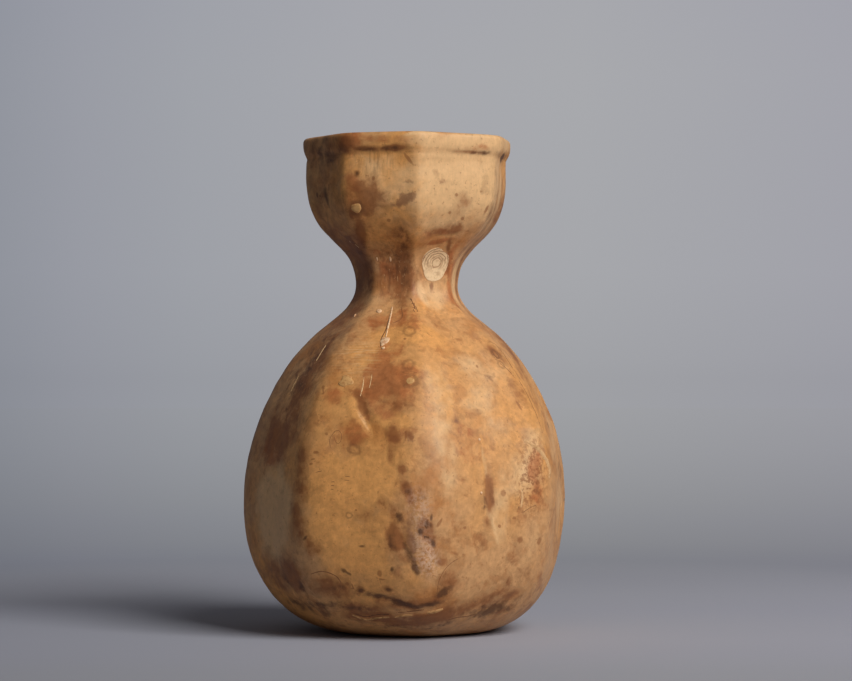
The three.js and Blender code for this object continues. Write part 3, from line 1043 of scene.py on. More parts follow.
@dataclass(frozen=True)
class GourdSkin:
    """The dried skin: tan with honey-brown clouds, reddish stains, specks and a satin gloss.

    Each layer is a noise pattern, to which the marks of a tone may be added. The numbers of its band are
    where the pattern starts to show, where it shows most, and how strongly it then covers what is under
    it. A noise is given by its grain in millimetres, its detail and its roughness.
    """

    gold: Colour = srgb(211, 149, 84)
    tan: Colour = srgb(201, 150, 100)
    sun: Colour = srgb(219, 155, 88)
    straw: Colour = srgb(242, 185, 124)
    honey: Colour = srgb(178, 112, 54)
    cream: Colour = srgb(223, 178, 126)
    red: Colour = srgb(172, 98, 52)
    brown: Colour = srgb(136, 80, 42)
    dark: Colour = srgb(88, 54, 32)
    black: Colour = srgb(66, 40, 24)
    russet: Colour = srgb(154, 94, 50)
    mauve: Colour = srgb(138, 92, 62)
    bloom: Colour = srgb(224, 190, 164)
    cork: Colour = srgb(214, 172, 122)

    def material(self) -> Material:
        """Builds the skin's material.

        Returns:
            The material.
        """
        board = Board(bpy.data.materials.new("gourd_skin"))
        swirl = board.warped(2.5, 12)
        fine = board.noise(2.6, 6, 0.62, where=swirl)
        patches = board.noise(9, 7, 0.6, where=swirl)
        colour = self._ground(board, swirl)
        colour = self._stains(board, colour, swirl, patches)
        colour = self._grain(board, colour, fine)
        colour = self._flecks(board, colour)
        colour = board.mix(board.tone(Tone.CUT), colour, self._cut(board))
        height = board.sum("MULTIPLY_ADD", patches, 1.6, fine)
        normal = board.bump(height, 0.25, 0.35)
        normal = board.bump(board.noise(0.9, 3, 0.6), 0.04, 0.35, normal)
        rough = board.sum("MULTIPLY_ADD", fine, 0.16, 0.42)
        rough = board.sum("MULTIPLY_ADD", board.tone(Tone.BLOOM), 0.2, rough)
        return board.finish(colour, rough, normal)

    def _ground(self, board: Board, swirl: Socket) -> Socket:
        """The clouds of gold, tan, honey and cream under everything; a few gold and cream marks in them
        paint highlights.

        Args:
            board: The skin's tree.
            swirl: The place on the skin, pushed about.

        Returns:
            The colour.
        """
        clouds = board.noise(60, 3, 0.5)
        colour = board.mix(board.band(clouds, 0.36, 0.64), self.gold, self.tan)
        mottle = board.noise(20, 7, 0.6, where=swirl)
        colour = board.mix(board.band(mottle, 0.48, 0.69, 0.75), colour, self.honey)
        blotches = board.noise(7, 6, 0.6, where=swirl)
        colour = board.mix(board.band(blotches, 0.53, 0.67, 0.60), colour, self.russet)
        coffee = board.noise(11, 6, 0.55, 0.6, where=swirl)
        spread = board.sum("MULTIPLY", board.band(coffee, 0.54, 0.62, 0.36), board.band(coffee, 0.80, 0.60))
        colour = board.mix(spread, colour, self.russet)
        sunny = board.field(Tone.GOLD, 0.6, board.noise(9, 5, 0.55, where=swirl))
        colour = board.mix(board.band(sunny, 0.60, 0.91, 0.85), colour, self.sun)
        colour = board.mix(board.band(sunny, 1.25, 1.65, 0.85), colour, self.straw)
        light = board.field(Tone.CREAM, 0.55, board.noise(14, 5, 0.55, where=swirl))
        return board.mix(board.band(light, 0.55, 0.95, 0.95), colour, self.cream)

    def _stains(self, board: Board, colour: Socket, swirl: Socket, patches: Socket) -> Socket:
        """The red, brown and dark stains with their darker outlines, and the streaks at the waist; a few
        brown marks in them paint shade.

        Args:
            board: The skin's tree.
            colour: The colour under them.
            swirl: The place on the skin, pushed about.
            patches: The pattern that shapes the brown stains.

        Returns:
            The colour with them.
        """
        reds = board.field(Tone.RED, 0.42, board.noise(7, 5, 0.6, where=swirl))
        colour = board.mix(board.band(reds, 0.62, 0.91, 0.75), colour, self.red)
        browns = board.field(Tone.BROWN, 0.5, patches)
        colour = board.mix(board.band(browns, 0.65, 0.91, 0.82), colour, self.brown)
        edge = board.sum("SUBTRACT", board.band(browns, 0.62, 0.67), board.band(browns, 0.68, 0.80))
        colour = board.mix(board.sum("MULTIPLY", edge, 0.14), colour, self.dark)
        darks = board.field(Tone.DARK, 0.55, board.noise(4.5, 6, 0.62, where=swirl))
        colour = board.mix(board.band(darks, 0.63, 1.00, 0.85), colour, self.dark)
        mauves = board.field(Tone.MAUVE, 0.5, board.noise(3.4, 5, 0.6, where=swirl))
        colour = board.mix(board.band(mauves, 0.60, 0.88, 0.75), colour, self.mauve)
        crumbs = board.band(board.noise(1.7, 5, 0.72), 0.47, 0.58, 0.75)
        colour = board.mix(board.sum("MULTIPLY", crumbs, board.tone(Tone.CRUST)), colour, self.brown)
        threads = board.noise(1.1, 4, 0.6, stretch=(1, 1, 9))
        streaks = board.sum("MULTIPLY", board.band(threads, 0.46, 0.66, 0.5), board.tone(Tone.STREAKS))
        colour = board.mix(streaks, colour, self.dark)
        pale = board.band(board.noise(0.9, 2, 0.5, stretch=(1, 1, 2)), 0.62, 0.72, 0.5)
        colour = board.mix(board.sum("MULTIPLY", pale, board.tone(Tone.STREAKS)), colour, self.cream)
        ruled = board.noise(0.6, 2, 0.5, stretch=(14, 14, 0.8))
        lines = board.sum("MULTIPLY", board.band(ruled, 0.5, 0.64, 0.5), board.tone(Tone.LINES))
        colour = board.mix(lines, colour, self.cream)
        dust = board.band(board.noise(1.3, 6, 0.75), 0.40, 0.58, 0.72)
        return board.mix(board.sum("MULTIPLY", dust, board.tone(Tone.BLOOM)), colour, self.bloom)

    def _grain(self, board: Board, colour: Socket, fine: Socket) -> Socket:
        """The fine mottle, the upright grain and the stray specks over all of the skin.

        Args:
            board: The skin's tree.
            colour: The colour under them.
            fine: The pattern of the mottle.

        Returns:
            The colour with them.
        """
        shade = board.rescale(fine, (0.3, 0.7), (0.82, 1.16))
        upright = board.rescale(board.noise(0.7, 3, 0.6, stretch=(1, 1, 4)), (0.3, 0.7), (0.96, 1.04))
        calm = board.band(board.tone(Tone.CREAM), 0.2, 0.9, 0.5)
        shade = board.sum("MULTIPLY_ADD", board.sum("SUBTRACT", 1.0, shade), calm, shade)
        both = board.sum("MULTIPLY", shade, upright)
        tint = board.node("ShaderNodeCombineColor", {0: both, 1: both, 2: both}).outputs[0]
        colour = board.mix(1.0, colour, tint, "MULTIPLY")
        cells = board.node("ShaderNodeTexVoronoi", {"Vector": board.place, "Scale": 1 / (7.5 * MM)})
        lot = board.node("ShaderNodeSeparateColor", {0: cells.outputs["Color"]}).outputs[0]
        size = board.sum("MULTIPLY", board.sum("SUBTRACT", lot, 0.62), 0.22)
        gap = board.sum("SUBTRACT", cells.outputs["Distance"], size)
        colour = board.mix(board.band(gap, 0.02, -0.02, 0.5), colour, self.brown)
        freckles = board.noise(1.5, 4, 0.7)
        return board.mix(board.band(freckles, 0.59, 0.70, 0.5), colour, self.brown)

    def _flecks(self, board: Board, colour: Socket) -> Socket:
        """The small spots and rings that are placed one by one.

        Args:
            board: The skin's tree.
            colour: The colour under them.

        Returns:
            The colour with them.
        """
        wobble = board.push(grain=1.6)
        brown = board.fleck(FleckKind.BROWN, wobble)
        colour = board.mix(board.band(brown, 1.25, 0.6, 0.6), colour, self.brown)
        ring = board.fleck(FleckKind.RING, wobble)
        line = board.sum("MULTIPLY", board.band(ring, 0.45, 0.9), board.band(ring, 1.5, 0.95))
        colour = board.mix(board.sum("MULTIPLY", line, 0.36), colour, self.dark)
        dark = board.fleck(FleckKind.DARK, wobble)
        return board.mix(board.band(dark, 1.6, 0.4, 0.7), colour, self.black)

    def _cut(self, board: Board) -> Socket:
        """The cork of the cut lip and of the bare wall inside it."""
        pores = board.noise(1.4, 5, 0.65)
        return board.mix(board.band(pores, 0.42, 0.62), self.honey, self.cork)


@dataclass(frozen=True)
class WaxFinish:
    """The honey-brown wax on the inside, smooth with slow pools of depth."""

    thin: Colour = srgb(168, 112, 62)
    pooled: Colour = srgb(122, 72, 36)

    def material(self) -> Material:
        """Builds the wax's material.

        Returns:
            The material.
        """
        board = Board(bpy.data.materials.new("wax_coat"))
        pools = board.noise(18, 4, 0.5, 0.5)
        colour = board.mix(board.band(pools, 0.35, 0.7), self.thin, self.pooled)
        normal = board.bump(board.noise(7, 3), 0.5, 0.3)
        return board.finish(colour, 0.36, normal)


@dataclass(frozen=True)
class ScarFinish:
    """Corky scar tissue: a pale ground with darker pores and, round a middle, fine rings and an eye.

    The grain is the size of the pores, and how pitted it is says how strongly they show. The middle is an
    angle and a height. The rings' gap, the eye's radius and the width of its line are in millimetres.
    """

    name: str
    pale: Colour = srgb(222, 178, 128)
    deep: Colour = srgb(158, 106, 62)
    roughness: float = 0.6
    grain: float = 1.2
    pitted: float = 1.0
    middle: Span | None = None
    ring_gap: float = 1.25
    ring_share: float = 0.75
    eye: float = 2.0
    eye_line: float = 0.5
    eye_share: float = 0.7

    def material(self) -> Material:
        """Builds the scar's material.

        Returns:
            The material.
        """
        board = Board(bpy.data.materials.new(self.name))
        pores = board.noise(self.grain, 5, 0.65)
        colour = board.mix(board.band(pores, 0.44, 0.66, self.pitted), self.pale, self.deep)
        if self.middle is not None:
            colour = self._rings(board, colour, SURVEYOR.point(*self.middle))
        return board.finish(colour, self.roughness, board.bump(pores, 0.2, 0.5))

    def _rings(self, board: Board, colour: Socket, centre: Vector) -> Socket:
        """The fine rings, which fade out below the middle, and the darker line round the eye.

        Args:
            board: The scar's tree.
            colour: The colour under them.
            centre: Their middle, in metres.

        Returns:
            The colour with them.
        """
        sockets = {0: board.warped(0.9, 2.4), 1: centre}
        reach = board.node("ShaderNodeVectorMath", sockets, operation="DISTANCE").outputs["Value"]
        wave = board.sum("SINE", board.sum("MULTIPLY", reach, math.tau / (self.ring_gap * MM)))
        rise = board.node("ShaderNodeSeparateXYZ", {0: board.place}).outputs[2]
        faded = board.band(rise, centre.z - 4 * MM, centre.z + 2 * MM, self.ring_share)
        outside = board.band(reach, (self.eye + 0.6) * MM, (self.eye + 1.0) * MM)
        ringed = board.sum("MULTIPLY", faded, outside)
        lines = board.sum("MULTIPLY", board.band(wave, 0.1, 0.9), ringed)
        colour = board.mix(lines, colour, self.deep)
        inner, outer = self.eye * MM, (self.eye + self.eye_line) * MM
        coming, going = board.band(reach, inner - 0.3 * MM, inner), board.band(reach, outer, inner)
        eye = board.sum("MULTIPLY", coming, going)
        return board.mix(board.sum("MULTIPLY", eye, self.eye_share), colour, self.deep)


class Ground:
    """The finished skin's surface, on which scars and lines are laid."""

    lift: float = 12.0
    search: float = 30.0

    def __init__(self, skin: Piece) -> None:
        """Reads the skin's faces."""
        self.tree = BVHTree.FromObject(skin, bpy.context.evaluated_depsgraph_get())

    def settle(self, point: Vector, out: Vector) -> tuple[Vector, Vector]:
        """The skin's point and normal straight under or over a point.

        Args:
            point: A place near the skin, in metres.
            out: The direction out of the skin there.

        Returns:
            The point on the skin and the normal there.
        """
        hit, normal, _, _ = self.tree.ray_cast(point + out * self.lift * MM, -out, self.search * MM)
        if hit is None:
            hit, normal, _, _ = self.tree.find_nearest(point)
        return hit, normal

    def lay(self, piece: Piece, footing: Footing, turn: float) -> None:
        """Lays a flat piece on the skin, its X and Y along the surface and its Z out of it.

        Args:
            piece: The piece, made at the origin in metres.
            footing: Where its origin goes.
            turn: Its turn on the surface, in degrees.
        """
        across, along = turned(footing.around, footing.up, turn)
        rows = []
        for x, y, z in places_of(piece):
            hit, normal = self.settle(footing.centre + across * x + along * y, footing.out)
            rows.append(hit + normal * z)
        move_places(piece, np.array(rows))


def dress(piece: Piece, material: Material) -> Piece:
    """Gives a piece its material and its place in the frame, and smooths its shading.

    Args:
        piece: The piece.
        material: What it is made of.

    Returns:
        The same piece.
    """
    select_only(piece)
    bpy.ops.object.shade_smooth_by_angle(angle=math.radians(50))
    piece.data.materials.clear()
    piece.data.materials.append(material)
    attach(piece, BODY)
    return piece


@dataclass(frozen=True)
class GourdShell:
    """The dried shell of the gourd, in one piece from its base to the rolled lip.

    The rings are how many steps a straight stretch of the section is cut into. Each kind of roughness has
    a name, the size of its lumps and their height. It fades in over the span of heights that it starts
    from and out over the span that it goes to.
    """

    columns: int = 288
    outside_step: float = 1.15
    inside_step: float = 4.0
    lip_step: float = 0.6
    base_rings: int = 8
    top_rings: int = 3
    wall_rings: int = 5
    floor_rings: int = 6
    rough_from: Span = (2, 8)
    rough_to: Span = (185, 188)
    roughness: tuple[tuple[str, float, float], ...] = (("slow_swell", 26, 0.9), ("dimples", 7, 0.35))
    folds_from: float = 1.5

    def build(self) -> Piece:
        """Spins the shell, presses it in the mould, folds its skin and paints its marks.

        Returns:
            The shell, dressed and set in the frame.
        """
        piece = turn_section("gourd_skin", self._outline(), self.columns)
        found = places_of(piece) / MM
        inside = on_inner_wall(found)
        cut = inside | (found[:, 2] > FORM.height - 0.05)
        press_in_mould(piece, inside)
        self._roughen(piece, inside)
        self._fold(piece, inside)
        self._paint(piece, cut)
        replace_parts(dress(piece, GourdSkin().material()), "gourd_shell")
        return piece

    def _outline(self) -> Array:
        """Draws the closed section: base, outside, lip, flat top, inner wall and inner floor.

        Returns:
            Rows of radius and height.
        """
        outside, lip = FORM.curves(self.outside_step), FORM.lip(self.lip_step)
        inner = FORM.inner(0, self.inside_step)[::-1]
        mouth = (inner[0, 0], FORM.height)
        base = straight((0, 0), (FORM.base_radius, 0), self.base_rings)[:-1]
        top = straight((lip[-1, 0], FORM.height), mouth, self.top_rings)[1:-1]
        wall = straight(mouth, inner[0], self.wall_rings)[:-1]
        floor = straight(inner[-1], (0, inner[-1, 1]), self.floor_rings)[1:]
        return np.vstack([base, outside, lip, top, wall, inner, floor])

    def _roughen(self, piece: Piece, inside: Array) -> None:
        """Makes the skin as uneven as growth and drying left it, with applied displacements.

        Args:
            piece: The shell.
            inside: Which of its vertices are on the inner wall.
        """
        height = places_of(piece)[:, 2] / MM
        free = smoothstep(height, *self.rough_from) * (1 - smoothstep(height, *self.rough_to)) * ~inside
        grown = "grown_skin"
        group = piece.vertex_groups.new(name=grown)
        for share in range(1, 11):
            members = np.flatnonzero(np.round(free * 10) == share)
            group.add(members.tolist(), share / 10, "REPLACE")
        select_only(piece)
        for name, grain, strength in self.roughness:
            texture = bpy.data.textures.new(name, "CLOUDS")
            texture.noise_scale = grain * MM
            modifier = piece.modifiers.new(name, "DISPLACE")
            modifier.texture = texture
            modifier.texture_coords = "LOCAL"
            modifier.vertex_group = grown
            modifier.strength = strength * MM
            modifier.mid_level = 0.5
            bpy.ops.object.modifier_apply(modifier=name)
            bpy.data.textures.remove(texture)

    def _fold(self, piece: Piece, inside: Array) -> None:
        """Presses the folds and grooves into the outside.

        Args:
            piece: The shell.
            inside: Which of its vertices are on the inner wall.
        """
        found, normals = places_of(piece), normals_of(piece)
        moved = np.zeros(len(found))
        for fold in FOLDS:
            moved += fold.offset(found)
        moved *= ~inside & (found[:, 2] > self.folds_from * MM)
        move_places(piece, found + normals * moved[:, None])

    def _paint(self, piece: Piece, cut: Array) -> None:
        """Writes each tone's marks and each kind's flecks to the mesh as attributes.

        Args:
            piece: The shell.
            cut: Which of its vertices lie in the cut lip or inside it.
        """
        found = places_of(piece)
        for tone in Tone:
            cover = cut.astype(float) if tone is Tone.CUT else np.zeros(len(found))
            for mark in (m for m in ALL_MARKS if m.tone is tone):
                cover = np.maximum(cover, mark.weight(found))
            layer = piece.data.attributes.new(tone.value, "FLOAT", "POINT")
            layer.data.foreach_set("value", cover.astype(np.float32))
        for kind in FleckKind:
            layer = piece.data.attributes.new(kind.value, "FLOAT_VECTOR", "POINT")
            layer.data.foreach_set("vector", places_in_flecks(kind, found).astype(np.float32).ravel())


@dataclass(frozen=True)
class WaxCoat:
    """The wax coat inside, from the floor up to just under the lip."""

    thickness: float = 0.8
    gap: float = 0.3
    below_rim: float = 5.0
    columns: int = 160
    step: float = 3.0

    def build(self) -> Piece:
        """Spins the coat and presses it to the inner wall.

        Returns:
            The coat, dressed and set in the frame.
        """
        piece = turn_section("wax_coat", self._outline(), self.columns)
        press_in_mould(piece, np.full(len(piece.data.vertices), True))
        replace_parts(dress(piece, WaxFinish().material()), "wax_lining")
        return piece

    def _outline(self) -> Array:
        """Draws the closed section: up the wall, over the brim and down the wet side.

        Returns:
            Rows of radius and height.
        """
        brim = FORM.height - self.below_rim
        under = FORM.inner(self.gap, self.step)
        over = FORM.inner(self.gap + self.thickness, self.step)[::-1]
        start = np.array([[0, under[0, 1]]])
        top = np.array([[under[-1, 0], brim], [over[0, 0], brim]])
        return np.vstack([start, under, top, over, [[0, over[-1, 1]]]])


@dataclass(frozen=True)
class Stroke:
    """A fine raised line on the skin, as wide and as proud as given and tapered at its ends."""

    path: Path
    width: float
    proud: float = 0.15
    step: float = 1.2
    most_round: float = 1.6

    def build(self, ground: Ground) -> Piece:
        """Draws the line on the skin and rounds it into a closed mesh.

        Args:
            ground: The skin's surface.

        Returns:
            The line.
        """
        half = self.width / 2
        radius = (half * half + self.proud * self.proud) / (2 * self.proud)
        radius = max(half, min(radius, self.most_round * half))
        rows = SURVEYOR.path(self.path, self.step)
        turns = [math.pi * (index + 0.3) / (len(rows) - 0.4) for index in range(len(rows))]
        tapers = [0.45 + 0.55 * math.sin(turn) ** 0.5 for turn in turns]
        settled = []
        for row, taper in zip(rows, tapers):
            point = Vector(row)
            hit, normal = ground.settle(point, Vector((point.x, point.y, 0)).normalized())
            settled.append(hit + normal * (self.proud - radius) * taper * MM)
        piece = draw_line("stroke", np.array(settled))
        bpy.ops.object.mode_set(mode="OBJECT")
        select_only(piece)
        bpy.ops.object.convert(target="CURVE")
        curve = bpy.context.object.data
        curve.bevel_depth = radius * MM
        curve.bevel_resolution = 2
        curve.use_fill_caps = True
        for point, taper in zip(curve.splines[0].points, tapers):
            point.radius = taper
        bpy.ops.object.convert(target="MESH")
        return bpy.context.object


@dataclass(frozen=True)
class Bead:
    """A small rounded blister on the skin, as lumpy round its edge as given."""

    angle: float
    height: float
    wide: float
    tall: float
    proud: float
    turn: float = 0.0
    lumpy: float = 0.0

    def build(self, ground: Ground) -> Piece:
        """Shapes a ball into the blister and lays it on the skin.

        Args:
            ground: The skin's surface.

        Returns:
            The blister.
        """
        bpy.ops.object.select_all(action="DESELECT")
        bpy.ops.mesh.primitive_uv_sphere_add(segments=28, ring_count=14, radius=1, location=(0, 0, 0))
        piece = bpy.context.object
        found = places_of(piece)
        turn = np.arctan2(found[:, 1], found[:, 0])
        lobes = 1 + self.lumpy * (np.sin(3 * turn + self.angle) + 0.6 * np.sin(5 * turn + self.height))
        found[:, 0] *= lobes * self.wide / 2 * MM
        found[:, 1] *= lobes * self.tall / 2 * MM
        found[:, 2] *= self.proud * MM
        move_places(piece, found)
        ground.lay(piece, SURVEYOR.footing(self.angle, self.height), self.turn)
        return piece


@dataclass(frozen=True)
class GrowthSet:
    """Lines or blisters of one finish, joined in one piece."""

    finish: ScarFinish
    growths: tuple[Stroke | Bead, ...]

    def build(self, ground: Ground) -> Piece:
        """Builds every growth on the skin and joins them.

        Args:
            ground: The skin's surface.

        Returns:
            The growths as one piece, dressed and set in the frame.
        """
        joined = join_pieces(self.finish.name, [growth.build(ground) for growth in self.growths])
        return dress(joined, self.finish.material())


@dataclass(frozen=True)
class CorkScar:
    """A round corky scar with rings round its middle, like the end of a cut stalk."""

    angle: float = 34.6
    height: float = 145.8
    wide: float = 12.0
    tall: float = 14.2
    turn: float = 4.0
    rings: int = 5
    ring_depth: float = 0.25
    ringed_share: float = 0.9
    relief: float = 0.35
    rim_proud: float = 0.16
    dome: float = 0.1
    buried: float = 0.8

    def build(self, ground: Ground) -> Piece:
        """Shapes a ringed disc into the scar and lays it on the skin.

        Args:
            ground: The skin's surface.

        Returns:
            The scar, dressed and set in the frame.
        """
        piece = self._disc()
        self._shape(piece)
        ground.lay(piece, SURVEYOR.footing(self.angle, self.height), self.turn)
        finish = ScarFinish("cork_scar", srgb(236, 202, 156), srgb(150, 98, 60), grain=2.0, pitted=0.4,
                            middle=(self.angle + 1.5, self.height + 0.4))
        return dress(piece, finish.material())

    def _disc(self) -> Piece:
        """Insets a disc of radius 1 ring by ring, each one raised or sunk.

        Returns:
            The disc.
        """
        bpy.ops.object.select_all(action="DESELECT")
        bpy.ops.mesh.primitive_cylinder_add(vertices=64, radius=1, depth=1, location=(0, 0, 0))
        piece = bpy.context.object
        piece.name = piece.data.name = "cork_scar"
        bpy.ops.object.mode_set(mode="EDIT")
        bpy.ops.mesh.select_mode(type="FACE")
        bpy.ops.mesh.select_all(action="DESELECT")
        bpy.ops.object.mode_set(mode="OBJECT")
        for face in piece.data.polygons:
            face.select = face.normal.z > 0.9
        bpy.ops.object.mode_set(mode="EDIT")
        for ring in range(2 * self.rings):
            depth = self.ring_depth if ring % 2 == 0 else -self.ring_depth
            bpy.ops.mesh.inset(thickness=self.ringed_share / (2 * self.rings), depth=depth)
        bpy.ops.mesh.select_mode(type="VERT")
        bpy.ops.object.mode_set(mode="OBJECT")
        return piece

    def _shape(self, piece: Piece) -> None:
        """Gives the disc its size, its lobed edge and rings that are deeper above its middle.

        Args:
            piece: The disc.
        """
        found = places_of(piece)
        turn = np.arctan2(found[:, 1], found[:, 0])
        reach = np.hypot(found[:, 0], found[:, 1])
        lobes = 1 + 0.05 * np.sin(3 * turn + 1) + 0.03 * np.sin(5 * turn)
        lobes = lobes + 0.04 * np.sin(8 * turn) * (1 - reach)
        lobes = lobes + 0.05 * np.sin(9 * reach + 2 * turn)
        above = smoothstep(found[:, 1], -0.3, 0.3)
        relief = self.relief * smoothstep(reach, 0.3, 0.5) * (0.35 + 0.65 * above)
        surface = (found[:, 2] - 0.5) * relief + self.rim_proud + self.dome * (1 - reach)
        found[:, 0] *= lobes * self.wide / 2 * MM
        found[:, 1] *= lobes * self.tall / 2 * MM
        found[:, 2] = np.where(found[:, 2] < 0, -self.buried, surface) * MM
        move_places(piece, found)


PALE_SCRATCHES = GrowthSet(ScarFinish("pale_scratches", srgb(226, 188, 136), srgb(200, 152, 102), 0.5), (
    Stroke(((-52.9, 113.6), (-52.3, 110.5), (-52.2, 107.3)), 0.6, 0.15),
    Stroke(((-61, 101.5), (-61, 98.4), (-61.5, 95.5)), 0.5, 0.12),
    Stroke(((-19.9, 101.1), (-19.6, 97.4), (-20.0, 93.8)), 0.4, 0.08),
    Stroke(((-16.4, 102.2), (-16.2, 99.4), (-16.6, 96.9)), 0.4, 0.08),
    Stroke(((-55.3, 154.7), (-54.2, 154.2)), 0.5, 0.1),
    Stroke(((-49.6, 153.4), (-47.0, 152.0)), 0.5, 0.1),
))

PALE_EDGES = GrowthSet(ScarFinish("pale_edges", srgb(216, 170, 118), srgb(190, 140, 90), 0.5, 0.9), (
    Stroke(((49.3, 76.8), (52.6, 75.2), (56.0, 72.2), (58.8, 68.4), (60.2, 64.6), (59.4, 61.6)), 2.4, 0.3),
    Stroke(((46.6, 58.5), (47.2, 54.6), (46.2, 51.0)), 1.4, 0.15),
))

DRIP_SCAR = GrowthSet(ScarFinish("drip_scar", srgb(234, 194, 150), srgb(206, 152, 108), 0.5), (
    Stroke(((-14.4, 128.6), (-13.9, 125.6), (-13.4, 122.6), (-13.1, 119.4), (-13.0, 116.0)), 0.8, 0.28),
    Bead(-13.3, 115.0, 3.4, 4.6, 0.5, -24, 0.12),
    Bead(-13.2, 112.3, 1.3, 1.4, 0.35, 0, 0.05),
    Bead(-25.8, 126.9, 2.2, 2.2, 0.5),
    Bead(-48.7, 125.3, 1.0, 2.2, 0.3, 30),
    Bead(-17.8, 147.4, 0.9, 2.2, 0.25),
    Bead(-31.4, 147.5, 0.7, 1.6, 0.2),
    Bead(29.2, 77.2, 1.1, 1.1, 0.3),
    Bead(28.6, 57.0, 1.0, 1.2, 0.3),
))

FOOT_LINES = GrowthSet(ScarFinish("foot_lines", srgb(196, 146, 92), srgb(150, 104, 62), 0.6), (
    Stroke(((-25.3, 10.0), (-22.0, 8.6), (-19.2, 7.7), (-14.3, 9.1), (-8.2, 9.5)), 1.1, 0.3),
    Stroke(((-5.6, 9.5), (-1.5, 10.4), (2.0, 10.5)), 1.0, 0.3),
    Stroke(((8.1, 11.3), (11.2, 11.4), (15.4, 12.8)), 1.8, 0.3),
))

STAIN_EDGES = GrowthSet(ScarFinish("stain_edges", srgb(146, 94, 56), srgb(122, 76, 44), 0.5), (
    Stroke(((20.5, 32.6), (17.6, 31.4), (14.6, 28.6), (12.6, 25.0), (11.8, 21.6), (12.2, 18.8)),
           0.55, 0.05),
    Stroke(((-28.2, 74.1), (-29.8, 77.1), (-28.3, 79.8), (-27.1, 81.7), (-25.4, 80.5), (-24.3, 78.3),
            (-25.3, 74.9), (-27.0, 76.0), (-27.7, 78.3)), 0.45, 0.04),
    Stroke(((-36, 26.0), (-31, 27.6), (-25.6, 25.6), (-24.4, 21.8), (-26.6, 19.4)), 0.6, 0.05),
    Stroke(((-21.8, 63.6), (-20.0, 63.5)), 0.6, 0.05),
    Stroke(((-21.9, 62.1), (-20.2, 62.0)), 0.6, 0.05),
    Stroke(((-26.6, 61.4), (-25.4, 61.4)), 0.5, 0.05),
    Stroke(((-26.6, 60.0), (-25.4, 60.0)), 0.5, 0.05),
    Stroke(((-26.6, 58.6), (-25.6, 58.6)), 0.5, 0.05),
    Stroke(((-32.6, 64.9), (-30.4, 65.5)), 0.7, 0.05),
    Stroke(((-5.4, 128.6), (-3.9, 126.5), (-2.8, 124.9), (-4.2, 123.3), (-10.1, 122.1)), 0.5, 0.05),
))

DARK_LINES = GrowthSet(ScarFinish("dark_lines", srgb(120, 74, 44), srgb(84, 52, 32), 0.6), (
    Stroke(((3.6, 132.0), (5.6, 130.8)), 0.4, 0.06),
    Stroke(((5.0, 131.8), (6.2, 129.6), (7.6, 128.4)), 0.4, 0.06),
    Stroke(((4.6, 129.9), (7.4, 129.9)), 0.35, 0.06),
    Stroke(((7.4, 130.2), (7.6, 127.6)), 0.35, 0.06),
    Stroke(((5.4, 128.4), (8.6, 127.6)), 0.35, 0.06),
    Stroke(((8.6, 129.0), (9.6, 126.6)), 0.4, 0.06),
    Stroke(((5.8, 127.6), (7.0, 126.4)), 0.35, 0.06),
    # This dark line is painted shadow: the shade that the raised drip scar and its bead would throw to
    # their left and below.
    Stroke(((-14.5, 124.4), (-14.2, 121.2), (-14.2, 118.6), (-15.6, 116.8), (-16.0, 114.4), (-14.6, 112.4)),
           0.7, 0.08),
    Stroke(((58.6, 99.9), (59.2, 92.1), (59.8, 84.4), (60.5, 78)), 0.4, 0.06),
    Stroke(((56.0, 115.2), (58.9, 114.4), (60.9, 111.3), (59.8, 108.1), (59.4, 105.0), (60.6, 99.9)),
           0.45, 0.06),
    Stroke(((54.0, 111.8), (55.0, 109.9), (55.2, 108.3), (53.4, 107.7), (52.3, 109.2), (52.8, 111.2)),
           0.4, 0.05),
    Stroke(((53.0, 106.4), (55.4, 103.8), (56.6, 100.8)), 0.4, 0.05),
    Stroke(((47.2, 58), (46.4, 54.8), (46.2, 52.8), (44.8, 50.4)), 0.35, 0.04),
    Stroke(((52.6, 51.7), (49.6, 50.7), (46.7, 48.8)), 0.35, 0.04),
    # These two lines paint the dark wrinkle band above the pale foot lines, partly as painted shade in the
    # groove over them.
    Stroke(((-25.3, 11.2), (-19.5, 9.0), (-14.6, 10.4), (-8.0, 10.6)), 0.6, 0.08),
    Stroke(((-4, 11.4), (2, 12.0), (7, 12.6)), 0.5, 0.06),
    Stroke(((18, 8), (24, 9.2), (28, 9.0), (33, 10)), 0.4, 0.08),
))

BLISTERS = GrowthSet(ScarFinish("blisters", srgb(208, 158, 98), srgb(182, 128, 76), 0.55), (
    Bead(-31.8, 166.7, 4.2, 3.8, 0.28, 10, 0.07),
    Bead(1.3, 99.6, 3.2, 2.9, 0.22, 0, 0.04),
    Bead(-27.8, 99.5, 5.6, 5.0, 0.45, 20, 0.15),
    Bead(168.0, 118.0, 2.6, 3.0, 0.4, 0, 0.05),
    Bead(140.0, 96.0, 4.4, 3.6, 0.4, 30, 0.12),
    Bead(212.0, 84.0, 3.4, 3.4, 0.4, 0, 0.05),
    Bead(106.0, 160.0, 3.0, 3.0, 0.4, 0, 0.05),
))

GROWTHS = (PALE_SCRATCHES, PALE_EDGES, STAIN_EDGES, DRIP_SCAR, FOOT_LINES, DARK_LINES, BLISTERS, CorkScar())


